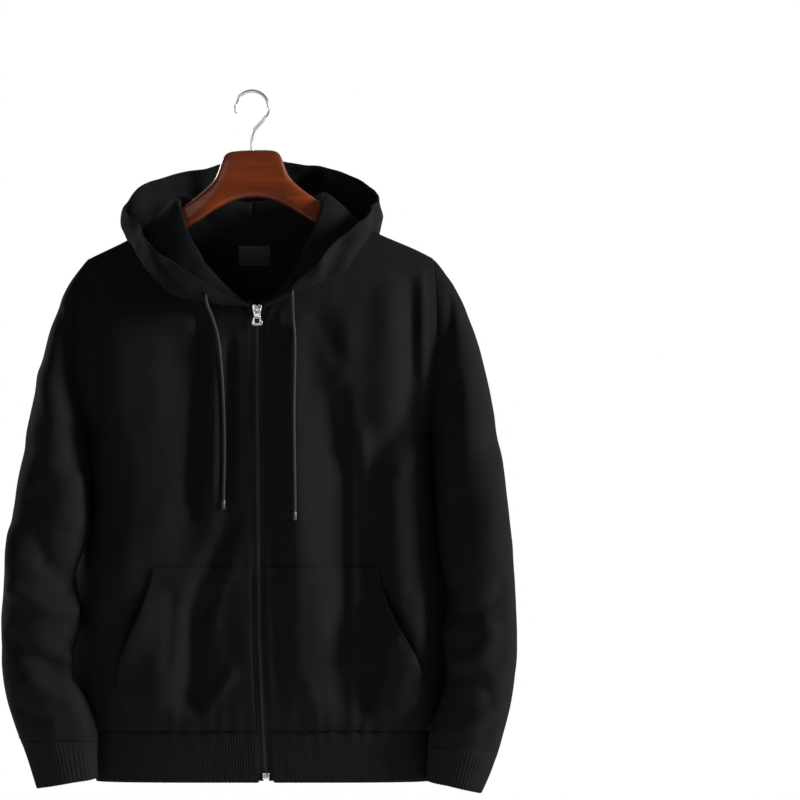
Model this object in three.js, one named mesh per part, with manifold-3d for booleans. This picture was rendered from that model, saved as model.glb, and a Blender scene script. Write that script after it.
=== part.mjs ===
// A zip up hoodie hanging on a wooden hanger, its hood lying back.
// Millimetres. +Z is up, +X is the wearer's left, and the front faces -Y.
// The origin is the inside top of the wire hook, where a rail carries the hanger.

import * as THREE from 'three';
import Module from 'manifold-3d';
import { mergeVertices } from 'three/addons/utils/BufferGeometryUtils.js';

const wasm = await Module();
wasm.setup();

// Cloth and seams
const fleece = 2.2; // brushed fleece
const hoodCloth = 3.0; // the hood is two layers
const rib = 2.5; // doubled rib of cuffs and hem
const seamGap = 0.3; // between two pieces that are sewn together
const neckSeamGap = 0.5; // the neck seam is steep, so its gap is measured straight up
const tilt = 0.03; // the garment hangs a little higher on the wearer's left

// Neck and shoulders
const neckHalfWidth = 88; // highest point of the shoulder from the middle
const backNeckDrop = 45; // back neck seam below the shoulder points
const backNeckCurve = 2.4; // how flat the back neckline is at the middle
const shoulderFall = 150; // below the shoulder line the body reaches its full depth
const shoulderRoundness = 0.75; // 1 would be a sine, less is fuller

// Body
const sideRoundness = 4; // power of the section, 2 would be an ellipse
const frontInnerCells = 12; // columns of cells from the zip to the pocket's edge
const frontOuterCells = 5; // and on to the side seam
const shoulderCells = 7; // columns of cells along half of the back's shoulder
const underarmRow = 10; // row of the panels at the underarm
const neckRow = 8; // row of the front panels at the zip's top
const hemSeamZ = -764;
const hemBottomZ = -826;
const hemRows = 3;

// Zip
const zipHalfGap = 8.5; // from the zip's middle to the cloth's edge
const flatBesideZip = 8; // no fold starts nearer to that edge
const tapeInner = 3.05;
const tapeOuter = 13;
const tapeThickness = 1;
const tapeSet = 2.8; // tape's face behind the cloth's face
const chainWidth = 5.5;
const chainThickness = 2.4;
const chainSet = 2.1;
const zipTopZ = -250;
const chainTopZ = -266;
const chainEndZ = -814;
const sliderTopZ = -255.5;
const sliderHeight = 14;
const sliderTopWidth = 11;
const sliderEndWidth = 8;
const sliderThickness = 4;
const sliderY = -57; // back face, just clear of the chain
const archWidth = 3;
const archOpening = 3.2;
const archWall = 1.3;
const pivotZ = -260;
const pullThickness = 1.6;
const pullBar = 1.8;
const pullSlot = { width: 4.2, length: 5 };
const pullLength = 21;
const pullTopWidth = 8;
const pullWaist = 7.4;
const pullEndWidth = 13;
const stopSize = { width: 8, height: 8, depth: 3.4 };

// Hanger
const woodUnderCloth = 92; // from here outward the arm follows the shoulder line
const woodSides = 12;
const wireRadius = 2;
const hookRadius = 20; // of the wire's middle line
const hookCentreZ = wireRadius - hookRadius;
const stemFootZ = -68.4;

// Cords
const cordDiameter = 3.6;
const cordStep = 9;
const tipDiameter = 4.4;
const tipLength = 10;

// Makes one object for each row, with the named columns.
function table(names, rows) {
  const keys = names.split(' ');
  return rows.map((row) => Object.fromEntries(row.map((value, i) => [keys[i], value])));
}

const shoulderLine = table('x z', [
  [0, -104], [30, -108], [60, -118], [88, -133], [110, -151], [150, -173], [200, -196], [230, -213],
]);

// Side edges of the body, how much of the full section lies inside them, and half depths.
const body = table('z right left inside front back', [
  [-200, -197.3, 217.0, 0.90, 57, 49],
  [-240, -209.0, 220.5, 0.91, 58, 50],
  [-290, -214.0, 221.5, 0.92, 59, 51],
  [-330, -212.5, 221.0, 0.93, 60, 52],
  [-370, -205.5, 218.5, 0.95, 61, 52],
  [-400, -198.5, 215.5, 0.98, 61, 52],
  [-417, -194.5, 214.0, 1.00, 61, 52],
  [-450, -192.0, 215.0, 1.00, 60, 52],
  [-490, -193.0, 220.0, 1.00, 60, 52],
  [-520, -198.0, 227.0, 1.00, 59, 51],
  [-545, -206.0, 234.0, 1.00, 59, 51],
  [-573, -219.0, 242.0, 1.00, 58, 50],
  [-630, -222.0, 247.0, 1.00, 57, 50],
  [-690, -227.0, 247.0, 1.00, 56, 49],
  [-715, -220.0, 241.0, 1.00, 54, 47],
  [-735, -207.5, 231.5, 1.00, 51, 45],
  [-752, -196.0, 221.0, 1.00, 46, 40],
  [-764, -188.0, 213.6, 1.00, 38, 34],
  [-800, -188.0, 213.6, 1.00, 36, 32],
  [-826, -187.5, 213.0, 1.00, 35, 31],
]);

// Behind the hanging sleeves the side seams are drawn back.
const sideBack = table('z back', [[-430, 0], [-480, 8], [-520, 18], [-573, 26], [-690, 28], [-735, 12], [-764, 0]]);
const sideBackFrom = 0.7; // share of the way from the middle to the side where that starts

// The panels' rows: height at the zip or neckline, at the back's middle and at the outer edge.
const panelRows = table('front back outer', [
  [-133, -178, -198],
  [-139, -183, -206],
  [-153, -194, -224],
  [-171, -209, -248],
  [-190, -227, -274],
  [-209, -248, -300],
  [-228, -271, -326],
  [-246, -296, -352],
  [-262, -322, -377],
  [-296, -352, -399],
  [-334, -382, -417],
  [-378, -417, -444],
  [-424, -454, -476],
  [-470, -492, -508],
  [-518, -530, -540],
  [-568, -568, -568],
  [-591, -591, -591],
  [-629, -629, -629],
  [-667, -667, -667],
  [-705, -705, -705],
  [-728, -728, -728],
  [-749, -749, -749],
  [-764, -764, -764],
]);
const pocketTopRow = 15;
const openingTopRow = 16;
const openingEndRow = 19;

// The neckline from the shoulder to the zip, and how far it follows the zip's middle.
const neckline = table('z x follow', [
  [-133, 88, 0],
  [-139, 87.4, 0],
  [-153, 85, 0],
  [-171, 80.5, 0],
  [-190, 73, 0],
  [-209, 62.5, 0.15],
  [-228, 49, 0.4],
  [-246, 31, 0.75],
  [-262, 8.5, 1],
]);

const backNeckline = [80, 70, 58, 44, 30, 15, 0];

const zipLine = table('z x', [[-250, 7.5], [-400, 8], [-650, 10], [-764, 14.5], [-826, 18]]);

// The pocket's outer edge, with the slanted opening from -591 to -705.
const pocketEdge = table('z right left', [
  [-568, -117, 153], [-591, -120, 155], [-705, -161, 202], [-728, -156, 196], [-749, -149, 188], [-764, -146, 184],
]);
const pocketLift = 3.5; // the opening's edge stands off the panel

// Folds of the front panels: the two ends, a sideways bow, the height and the half width.
const frontFolds = table('topX topZ endX endZ bow height width', [
  [-122, -240, -110, -560, 6, 7, 40],
  [-56, -272, -71, -515, 4, -9, 13],
  [-44, -285, -42, -490, 0, 4, 10],
  [-24, -285, -29, -515, 0, -5, 10],
  [-8, -510, -68, -750, -22, -7, 17],
  [-98, -610, -104, -745, 0, 6, 20],
  [-26, -610, -44, -745, 4, -5, 18],
  [46, -262, 103, -762, -14, 7, 18],
  [130, -405, 144, -762, 4, -10, 26],
  [112, -285, 118, -380, 0, 5, 38],
  [31, -297, 40, -730, -6, -5, 11],
  [178, -465, 178, -750, 4, 4, 18],
  [192, -250, 190, -345, 0, -6, 11],
]);

const backFolds = table('topX topZ endX endZ bow height width', [
  [-82, -254, -84, -770, -6, 8, 26],
  [-8, -240, -8, -740, 6, -8, 24],
  [86, -270, 74, -770, 8, 8, 28],
  [122, -374, 122, -470, 0, -6, 15],
  [182, -266, 182, -386, 0, 5, 18],
  [-136, -280, -132, -730, 5, -8, 22],
  [-172, -240, -172, -500, 0, 5, 14],
  [38, -650, 36, -758, 0, 4, 14],
  [-106, -690, -110, -760, 0, -4, 14],
]);

// Sleeves: outer and inner edge of each section, half depth, how far its middle is pushed outward
// and how far the whole section hangs forward.
const rightSleeve = table('outerX outerZ innerX innerZ depth push forward', [
  [-197.6, -200, -194.8, -417, 31, 16, 0],
  [-222, -231, -195, -431, 42, 13, 0],
  [-243, -285, -194.5, -449, 52, 8, 0],
  [-258, -351, -194, -479, 55, 3, 8],
  [-271, -417, -194.5, -509, 52, 0, 17],
  [-284, -489, -199, -545, 47, 0, 24],
  [-291, -543, -214, -573, 44, 0, 28],
  [-296, -597, -206, -609, 42, 0, 30],
  [-299, -639, -206, -646, 42, 0, 31],
  [-299, -681, -220, -687, 41, 0, 31],
  [-293, -729, -199, -730, 40, 0, 29],
  [-278, -773, -190, -777, 34, 0, 26],
]);
const leftSleeve = table('outerX outerZ innerX innerZ depth push forward', [
  [217.3, -197, 214.3, -417, 31, 6, 0],
  [245, -231, 217.5, -431, 42, 4, 0],
  [266, -285, 219.5, -449, 52, 2, 0],
  [282, -351, 221.5, -479, 55, 0, 8],
  [295, -417, 223.5, -509, 52, 0, 17],
  [305, -489, 226.5, -545, 47, 0, 24],
  [312, -543, 231, -573, 44, 0, 28],
  [316, -597, 239, -609, 42, 0, 30],
  [317.5, -639, 228, -646, 42, 0, 31],
  [317, -681, 238, -687, 41, 0, 31],
  [312, -729, 231, -732, 40, 0, 29],
  [296, -789, 216, -781, 34, 0, 26],
]);
const rightCuff = table('outerX outerZ innerX innerZ depth forward', [
  [-278, -773, -190, -777, 34, 26],
  [-266, -803, -189, -799, 31, 25],
  [-257, -833, -188.5, -821, 28, 24],
]);
const leftCuff = table('outerX outerZ innerX innerZ depth forward', [
  [296, -789, 216, -781, 34, 26],
  [286, -814, 214.5, -803, 31, 25],
  [276, -839, 213.5, -824, 28, 24],
]);
const sleeveRings = 19;
const armholeFade = [1, 0.72, 0.42, 0.18, 0.05];

// Creases of the sleeves: place along it, place round it in degrees (0 outer, 90 front,
// 180 inner, 270 back), how many degrees it turns over its length, and its sizes.
const rightSleeveFolds = table('along around turn length height width', [
  [0.20, 62, 30, 0.16, 5, 34],
  [0.34, 120, -70, 0.12, -6, 30],
  [0.44, 70, 90, 0.09, 7, 30],
  [0.52, 110, 80, 0.07, -8, 26],
  [0.60, 60, 70, 0.06, 8, 28],
  [0.67, 140, 60, 0.05, -7, 26],
  [0.74, 60, 80, 0.05, 7, 26],
  [0.82, 120, -60, 0.05, -8, 28],
  [0.90, 70, 40, 0.04, 6, 30],
  [0.46, 250, -60, 0.10, -6, 32],
  [0.62, 290, 60, 0.07, 6, 30],
  [0.76, 240, -60, 0.06, -7, 28],
  [0.88, 290, 50, 0.04, 6, 30],
]);
const leftSleeveFolds = table('along around turn length height width', [
  [0.22, 80, -20, 0.15, 6, 38],
  [0.38, 130, -60, 0.10, -7, 28],
  [0.47, 60, 60, 0.10, 6, 32],
  [0.56, 120, -70, 0.06, -8, 26],
  [0.65, 70, 60, 0.06, 7, 28],
  [0.73, 130, -60, 0.05, -8, 26],
  [0.81, 60, 60, 0.05, 7, 28],
  [0.89, 120, -50, 0.04, -6, 28],
  [0.44, 270, -60, 0.10, -6, 32],
  [0.58, 250, 60, 0.07, 7, 30],
  [0.72, 290, -60, 0.06, -7, 28],
  [0.86, 250, 50, 0.05, 6, 30],
]);

// The hood's sections from the zip to the middle of the back. Each runs from the neck seam up
// to the crest, folds over, goes down to the fold at the bottom of the pouch and up to the rim.
// liftFold and liftRim raise the wearer's left side, sag lowers the pouch's fold there.
const hoodSections = table('crestX crestY crestZ foldX foldY foldZ rimX rimY rimZ liftFold liftRim', [
  [8.5, -60.5, -256, 8.5, -66, -258.5, 8.5, -70, -256, 0, 0],
  [30, -60, -239, 28, -71, -256, 29, -77, -249, 2, 1],
  [46, -57, -221, 46, -75, -253, 46, -83, -238, 7, 2],
  [59, -53, -202, 64, -77, -252, 64, -86, -225, 12, 5],
  [69, -45, -183, 84, -75, -247, 84, -84, -211, 13, 8],
  [77, -34, -165, 104, -68, -231, 106, -77, -192, 11, 10],
  [83, -22, -147, 124, -52, -214, 128, -63, -173, 8, 9],
  [88, -9, -131, 139, -32, -188, 142, -42, -156, 4, 6],
  [90.5, 2, -125, 147, -6, -168, 150, -16, -142, 0, 3],
  [86, 15, -123.5, 149, 28, -176, 153, 22, -130, -6, 0],
  [78, 28, -125, 138, 58, -206, 147, 56, -112, -14, 0],
  [66, 37, -126, 114, 76, -236, 126, 79, -100, -20, 0],
  [51, 44, -128, 86, 83, -255, 98, 90, -92, -18, 0],
  [35, 49, -129, 58, 86, -264, 68, 96, -85, -12, 0],
  [18, 52, -130, 30, 87, -270, 35, 99, -80, -5, 0],
  [0.15, 53, -130, 0.15, 88, -272, 0.15, 100, -77, 0, 0],
]);
const hoodInset = 5; // the fall bows in towards the stand
const hoodBelly = 8; // the outer wall bows out
const hoodStep = 3; // cells between two places of a section
const hoodEdgeCloth = 1.6; // thinner where the hood ends at the zip

// The wooden hanger: top and lower edge in front of the neck opening, and half thickness.
const wood = table('x top bottom half', [
  [0, -68, -126, 7],
  [20, -68.5, -129, 7],
  [30, -70, -133, 7],
  [35, -76, -135.5, 7],
  [37.5, -84, -137, 7],
  [42, -98, -139, 7],
  [48, -107, -142.5, 7],
  [58, -116, -149, 6.6],
  [72, -127, -157.5, 5.2],
  [84, -134.5, -163.5, 3.6],
  [92, -139.5, -167.5, 3.4],
  [110, -155, -175, 3.6],
  [130, -166, -187, 3.6],
  [150, -176, -197, 3.6],
  [170, -186, -205, 3.2],
  [180, -191, -208, 2.8],
  [186, -195, -207, 2],
]);
const woodDrop = table('x drop', [[92, 5.2], [130, 4.7], [160, 5], [175, 6.2], [186, 9]]);

// The drawcords' routes, chosen by hand from the photograph.
const cordRight = [
  [-53, -82.8, -245], [-53, -86, -246], [-52.4, -87.5, -250.5], [-50.5, -84, -257.5], [-47, -76, -266.5],
  [-43.5, -67, -277], [-40, -63.2, -290], [-37.4, -62.8, -305], [-35, -62.5, -330], [-33.4, -62.3, -355],
  [-32.2, -62, -385], [-31.4, -61.4, -417], [-31.6, -60.9, -445], [-32.2, -60.5, -470], [-32.4, -59.7, -489],
];
const cordLeft = [
  [50, -81.1, -239.5], [50, -84.4, -240.8], [50, -85.5, -245.5], [50.2, -83, -253.5], [50.4, -76, -262.5],
  [50.8, -69.5, -273.5], [51.8, -67.2, -286], [52.6, -68.2, -302], [52.4, -69.5, -330], [51.8, -70.2, -360],
  [51.6, -70.5, -395], [52, -70.1, -430], [52.6, -69.2, -465], [52.8, -68.6, -490], [52.8, -68.2, -502],
];

// The label hangs from the back neck seam.
const label = { left: 21, right: -17, top: -183, bottom: -207, thickness: 0.8, gap: 0.4 };

const paint = {
  fleece: new THREE.MeshStandardMaterial({ color: 0x141616, roughness: 0.95, metalness: 0 }),
  rib: new THREE.MeshStandardMaterial({ color: 0x181a1a, roughness: 0.97, metalness: 0 }),
  tape: new THREE.MeshStandardMaterial({ color: 0x0c0d0d, roughness: 0.85, metalness: 0 }),
  metal: new THREE.MeshStandardMaterial({ color: 0x8d8f91, roughness: 0.35, metalness: 1 }),
  cord: new THREE.MeshStandardMaterial({ color: 0x161818, roughness: 0.9, metalness: 0 }),
  label: new THREE.MeshStandardMaterial({ color: 0x1b1d1e, roughness: 0.7, metalness: 0 }),
  wood: new THREE.MeshStandardMaterial({ color: 0x6e2412, roughness: 0.3, metalness: 0 }),
  steel: new THREE.MeshStandardMaterial({ color: 0xb9bbbd, roughness: 0.25, metalness: 1 }),
};

const mix = THREE.MathUtils.lerp;
const clamp = THREE.MathUtils.clamp;
const smooth = (value) => THREE.MathUtils.smoothstep(value, 0, 1);

// Reads one column of a table at a place between its rows, on a curve that never overshoots.
function read(rows, key, name, at) {
  const forward = rows[rows.length - 1][key] > rows[0][key] ? 1 : -1;
  const last = rows.length - 2;
  let i = 0;
  while (i < last && (at - rows[i + 1][key]) * forward > 0) i += 1;
  const secant = (k) => (rows[k + 1][name] - rows[k][name]) / (rows[k + 1][key] - rows[k][key]);
  const slope = (k) => {
    if (k === 0) return secant(0);
    if (k === rows.length - 1) return secant(k - 1);
    const before = secant(k - 1);
    const after = secant(k);
    return before * after <= 0 ? 0 : (2 * before * after) / (before + after);
  };
  const length = rows[i + 1][key] - rows[i][key];
  const t = clamp((at - rows[i][key]) / length, 0, 1);
  const t2 = t * t;
  const t3 = t2 * t;
  return (2 * t3 - 3 * t2 + 1) * rows[i][name] + (t3 - 2 * t2 + t) * length * slope(i)
    + (3 * t2 - 2 * t3) * rows[i + 1][name] + (t3 - t2) * length * slope(i + 1);
}

const sideOf = (side) => (side > 0 ? 'left' : 'right');
const shoulderZ = (x) => read(shoulderLine, 'x', 'z', Math.abs(x)) + tilt * x;
const zipX = (z) => read(zipLine, 'z', 'x', z);
const edgeX = (side, z) => read(body, 'z', sideOf(side), z);

// Sum of the soft ridges and troughs at a place on a panel.
function foldHeight(folds, x, z) {
  return folds.reduce((sum, fold) => {
    const t = (z - fold.topZ) / (fold.endZ - fold.topZ);
    const inside = clamp(t, 0, 1);
    const middle = mix(fold.topX, fold.endX, inside) + fold.bow * 4 * inside * (1 - inside);
    const aside = (x - middle) / fold.width;
    const beyond = Math.abs(t - inside) * Math.abs(fold.endZ - fold.topZ) / (1.5 * fold.width);
    const fade = smooth(Math.min(t, 1 - t) * 4 + 0.5);
    return sum + fold.height * Math.exp(-aside * aside - beyond * beyond) * fade;
  }, 0);
}

// Half depth of the body at a place, front or back, with its folds fading out at the seams.
function bodyDepth(which, x, z) {
  const right = edgeX(-1, z);
  const left = edgeX(1, z);
  const middle = (left + right) / 2;
  const half = (left - right) / 2 / read(body, 'z', 'inside', z);
  const across = Math.min(1, Math.abs((x - middle) / half));
  const section = Math.sqrt(1 - across ** sideRoundness);
  const below = Math.max(0, shoulderZ(x) - z);
  const fall = Math.sin(Math.min(1, below / shoulderFall) * Math.PI / 2) ** shoulderRoundness;
  const toSide = smooth(Math.min(left - x, x - right) / 22);
  const toHem = mix(0.25, 1, smooth((z - hemSeamZ) / 45));
  const toZip = which === 'front' ? smooth((Math.abs(x - zipX(z)) - zipHalfGap - flatBesideZip) / 20) : 1;
  const folds = foldHeight(which === 'front' ? frontFolds : backFolds, x, z);
  return read(body, 'z', which, z) * section * fall + folds * fall * toSide * toHem * toZip;
}

// How far the section is drawn back at a place near the side.
function drawnBack(x, z) {
  const right = edgeX(-1, z);
  const left = edgeX(1, z);
  const across = Math.abs(x - (left + right) / 2) / ((left - right) / 2);
  const most = read(sideBack, 'z', 'back', clamp(z, hemSeamZ, sideBack[0].z));
  return most * smooth((across - sideBackFrom) / (1 - sideBackFrom));
}

function bodyPoint(which, x, z) {
  const depth = Math.max(seamGap / 2, bodyDepth(which, x, z));
  return new THREE.Vector3(x, (which === 'front' ? -depth : depth) + drawnBack(x, z), z);
}

// Normals of a grid of points, from its neighbours along and across.
function gridNormals(grid, { closed = false, flip = false } = {}) {
  const rows = grid.length;
  const columns = grid[0].length;
  const at = (r, c) => grid[clamp(r, 0, rows - 1)][closed ? (c + columns) % columns : clamp(c, 0, columns - 1)];
  return grid.map((row, r) => row.map((point, c) => {
    const along = at(r, c + 1).clone().sub(at(r, c - 1));
    const down = at(r + 1, c).clone().sub(at(r - 1, c));
    const normal = along.cross(down).normalize();
    return flip ? normal.negate() : normal;
  }));
}

// Outward normals of a ring of points that stay square to an axis.
function ringNormals(points, axis) {
  const centre = points.reduce((sum, p) => sum.add(p), new THREE.Vector3()).divideScalar(points.length);
  return points.map((point, i) => {
    const before = points[(i + points.length - 1) % points.length];
    const after = points[(i + 1) % points.length];
    const normal = after.clone().sub(before).cross(axis);
    normal.addScaledVector(axis, -normal.dot(axis) / axis.lengthSq()).normalize();
    return normal.dot(point.clone().sub(centre)) < 0 ? normal.negate() : normal;
  });
}

// Clears a normal's parts along the named axes, so that a seam's gap stays even.
function without(normal, axes) {
  const kept = normal.clone();
  axes.split('').forEach((axis) => { kept[axis] = 0; });
  return kept.normalize();
}

// A wall of cloth: the grid is its outer face, and the inner face lies a thickness behind it.
function wall(grid, thickness, { closed = false, flip = false, normals } = {}) {
  const rows = grid.length;
  const columns = grid[0].length;
  const faces = normals || gridNormals(grid, { closed, flip });
  const points = [];
  grid.forEach((row) => row.forEach((p) => points.push(p)));
  grid.forEach((row, r) => row.forEach((p, c) => {
    const deep = typeof thickness === 'function' ? thickness(r, c) : thickness;
    points.push(p.clone().addScaledVector(faces[r][c], -deep));
  }));
  const outer = (r, c) => r * columns + (c % columns);
  const inner = (r, c) => rows * columns + outer(r, c);
  const index = [];
  const quad = (a, b, c, d) => {
    if (flip) index.push(a, d, c, a, c, b);
    else index.push(a, b, c, a, c, d);
  };
  const lastColumn = closed ? columns : columns - 1;
  for (let r = 0; r < rows - 1; r += 1) {
    for (let c = 0; c < lastColumn; c += 1) {
      quad(outer(r, c), outer(r, c + 1), outer(r + 1, c + 1), outer(r + 1, c));
      quad(inner(r, c), inner(r + 1, c), inner(r + 1, c + 1), inner(r, c + 1));
    }
  }
  for (let c = 0; c < lastColumn; c += 1) {
    quad(outer(0, c + 1), outer(0, c), inner(0, c), inner(0, c + 1));
    quad(outer(rows - 1, c), outer(rows - 1, c + 1), inner(rows - 1, c + 1), inner(rows - 1, c));
  }
  for (let r = 0; r < rows - 1 && !closed; r += 1) {
    quad(outer(r, 0), outer(r + 1, 0), inner(r + 1, 0), inner(r, 0));
    quad(outer(r + 1, lastColumn), outer(r, lastColumn), inner(r, lastColumn), inner(r + 1, lastColumn));
  }
  return indexed(points, index);
}

function indexed(points, index) {
  const geometry = new THREE.BufferGeometry();
  geometry.setAttribute('position', new THREE.Float32BufferAttribute(points.flatMap((p) => [p.x, p.y, p.z]), 3));
  geometry.setIndex(index);
  geometry.computeVertexNormals();
  return geometry;
}

// A solid through closed rings of points, with a flat cap at each end.
function loft(rings) {
  const sides = rings[0].length;
  const points = rings.flat();
  const index = [];
  for (let r = 0; r < rings.length - 1; r += 1) {
    for (let c = 0; c < sides; c += 1) {
      const next = (c + 1) % sides;
      const a = r * sides + c;
      const b = r * sides + next;
      index.push(a, b, b + sides, a, b + sides, a + sides);
    }
  }
  const end = (rings.length - 1) * sides;
  for (let c = 1; c < sides - 1; c += 1) {
    index.push(0, c + 1, c);
    index.push(end, end + c, end + c + 1);
  }
  return indexed(points, index);
}

// A round bar along a smooth curve through the points.
function tube(points, diameter, sides, step) {
  const curve = new THREE.CatmullRomCurve3(points.map((p) => new THREE.Vector3(...p)), false, 'centripetal');
  const section = new THREE.Shape();
  for (let i = 0; i < sides; i += 1) {
    const angle = (i / sides) * 2 * Math.PI;
    const place = [Math.cos(angle) * diameter / 2, Math.sin(angle) * diameter / 2];
    if (i === 0) section.moveTo(...place);
    else section.lineTo(...place);
  }
  section.closePath();
  const steps = Math.round(curve.getLength() / step);
  return new THREE.ExtrudeGeometry(section, { steps, extrudePath: curve, bevelEnabled: false });
}

// Columns of a front panel from the zip to the side, with one column on the pocket's edge.
function frontShare(side, column, innerX, outerX, z) {
  const edge = read(pocketEdge, 'z', sideOf(side), Math.min(z, panelRows[pocketTopRow].front));
  const atZ = Math.min(z, panelRows[pocketTopRow].front);
  const from = zipX(atZ) + side * zipHalfGap;
  const share = (edge - from) / (edgeX(side, atZ) - from);
  if (column <= frontInnerCells) return share * column / frontInnerCells;
  const t = (column - frontInnerCells) / frontOuterCells;
  return share + (1 - share) * mix(t, Math.sin(t * Math.PI / 2), 0.4);
}

function outerZ(row, side) {
  return row === 0 ? shoulderZ(edgeX(side, panelRows[0].outer)) : panelRows[row].outer;
}

function frontInner(row, side) {
  if (row > neckRow) {
    const { front } = panelRows[row];
    return { x: zipX(front) + side * zipHalfGap, z: front };
  }
  const { z, x, follow } = neckline[row];
  return { x: side * x + follow * zipX(z), z: z + tilt * side * x };
}

function frontGrid(side) {
  return panelRows.map((_, row) => {
    const inner = frontInner(row, side);
    const edge = outerZ(row, side);
    const outerX = edgeX(side, edge);
    const follow = Math.max(0, 1 - row / neckRow);
    return Array.from({ length: frontInnerCells + frontOuterCells + 1 }, (__, column) => {
      const share = frontShare(side, column, inner.x, outerX, inner.z);
      const x = mix(inner.x, outerX, share);
      const bend = shoulderZ(x) - mix(shoulderZ(inner.x), shoulderZ(outerX), share);
      return bodyPoint('front', x, mix(inner.z, edge, share) + bend * follow);
    });
  });
}

// Places along the back's top edge, from the middle to one shoulder tip.
function backTopPlaces(side) {
  const tip = Math.abs(edgeX(side, panelRows[0].outer));
  const neck = [...backNeckline].reverse();
  const shoulder = Array.from({ length: shoulderCells + 1 }, (_, i) => {
    const t = i / shoulderCells;
    return mix(neckHalfWidth, tip, mix(t, Math.sin(t * Math.PI / 2), 0.3));
  });
  return [...neck, ...shoulder];
}

function backTopZ(x) {
  const across = Math.abs(x);
  if (across >= neckHalfWidth) return shoulderZ(x);
  const bottom = panelRows[0].back;
  return bottom + backNeckDrop * (across / neckHalfWidth) ** backNeckCurve + tilt * x;
}

function backGrid() {
  const right = backTopPlaces(-1).map((x) => -x).reverse();
  const left = backTopPlaces(1).slice(1);
  const places = [...right, ...left];
  return panelRows.map((heights, row) => places.map((topX) => {
    const side = topX < 0 ? -1 : 1;
    const tip = edgeX(side, panelRows[0].outer);
    const edge = outerZ(row, side);
    const share = Math.abs(topX / tip);
    const x = topX * edgeX(side, edge) / tip;
    const straight = mix(panelRows[0].back, outerZ(0, side), share);
    const bend = (backTopZ(topX) - straight) * Math.max(0, 1 - row / neckRow);
    return bodyPoint('back', x, mix(heights.back, edge, share) + bend);
  }));
}

const front = { left: frontGrid(1), right: frontGrid(-1) };
const back = backGrid();
const backColumns = back[0].length;
const backMiddle = backTopPlaces(-1).length - 1;

// The armhole as one ring of points: shoulder tip, down the front, underarm, up the back.
function armholeRing(side) {
  const last = front.left[0].length - 1;
  const backEdge = side > 0 ? backColumns - 1 : 0;
  const down = [];
  const up = [];
  for (let row = 1; row < underarmRow; row += 1) {
    down.push(front[sideOf(side)][row][last].clone());
    up.unshift(back[row][backEdge].clone());
  }
  const tip = front[sideOf(side)][0][last].clone().setY(0);
  const underarm = front[sideOf(side)][underarmRow][last].clone().setY(0);
  return [tip, ...down, underarm, ...up];
}

const armhole = {};
const armholeNormals = {};
[1, -1].forEach((side) => {
  armhole[sideOf(side)] = armholeRing(side);
  armholeNormals[sideOf(side)] = ringNormals(armhole[sideOf(side)], new THREE.Vector3(1, 0, 0));
});

// The neckline of one side from the zip over the shoulder to the middle of the back.
function necklineOf(side) {
  const points = [];
  for (let row = neckRow; row >= 1; row -= 1) points.push(front[sideOf(side)][row][0].clone());
  points.push(front[sideOf(side)][0][0].clone().setY(0));
  backNeckline.forEach((_, i) => {
    points.push(back[0][backMiddle + side * (backNeckline.length - 1 - i)].clone());
  });
  return points;
}

// Level normals along a neckline, facing away from the neck.
function necklineNormals(points, side) {
  const shoulder = neckRow;
  return points.map((point, i) => {
    if (i === 0) return new THREE.Vector3(0, -1, 0);
    if (i === shoulder) return new THREE.Vector3(side, 0, 0);
    if (i === points.length - 1) return new THREE.Vector3(0, 1, 0);
    const along = points[i + 1].clone().sub(points[i - 1]);
    return new THREE.Vector3(along.y * side, -along.x * side, 0).normalize();
  });
}

const neck = {};
const neckNormals = {};
[1, -1].forEach((side) => {
  neck[sideOf(side)] = necklineOf(side);
  neckNormals[sideOf(side)] = necklineNormals(neck[sideOf(side)], side);
});

function frontNormals(side) {
  const name = sideOf(side);
  const grid = front[name];
  const normals = gridNormals(grid, { flip: side > 0 });
  const last = grid[0].length - 1;
  grid.forEach((row, r) => {
    normals[r][0] = r <= neckRow ? neckNormals[name][neckRow - r].clone() : without(normals[r][0], 'x');
    normals[r][last] = r <= underarmRow ? armholeNormals[name][r].clone() : without(normals[r][last], 'y');
  });
  for (let c = 1; c < last; c += 1) {
    normals[0][c] = without(normals[0][c], 'y');
    normals[grid.length - 1][c] = without(normals[grid.length - 1][c], 'z');
  }
  normals[grid.length - 1][0] = new THREE.Vector3(0, -1, 0);
  normals[grid.length - 1][last] = new THREE.Vector3(side, 0, 0);
  return normals;
}

function backNormals() {
  const normals = gridNormals(back);
  const bottom = back.length - 1;
  const neckReach = backNeckline.length;
  normals[0].forEach((normal, c) => { normals[0][c] = without(normal, 'y'); });
  [1, -1].forEach((side) => {
    const name = sideOf(side);
    const edge = side > 0 ? backColumns - 1 : 0;
    const ring = armholeNormals[name];
    back.forEach((_, r) => {
      if (r > underarmRow) normals[r][edge] = without(normals[r][edge], 'y');
      else normals[r][edge] = ring[(ring.length - r) % ring.length].clone();
    });
    for (let i = 0; i <= neckReach; i += 1) {
      normals[0][backMiddle + side * i] = neckNormals[name][neck[name].length - 1 - i].clone();
    }
  });
  back[0].forEach((_, c) => { normals[bottom][c] = without(normals[bottom][c], 'z'); });
  normals[bottom][0] = new THREE.Vector3(-1, 0, 0);
  normals[bottom][backColumns - 1] = new THREE.Vector3(1, 0, 0);
  return normals;
}

const frontFaces = { left: frontNormals(1), right: frontNormals(-1) };
const backFaces = backNormals();

const frontPanel = (side) => wall(front[sideOf(side)], fleece, { flip: side > 0, normals: frontFaces[sideOf(side)] });
const backPanel = () => wall(back, fleece, { normals: backFaces });

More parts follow.
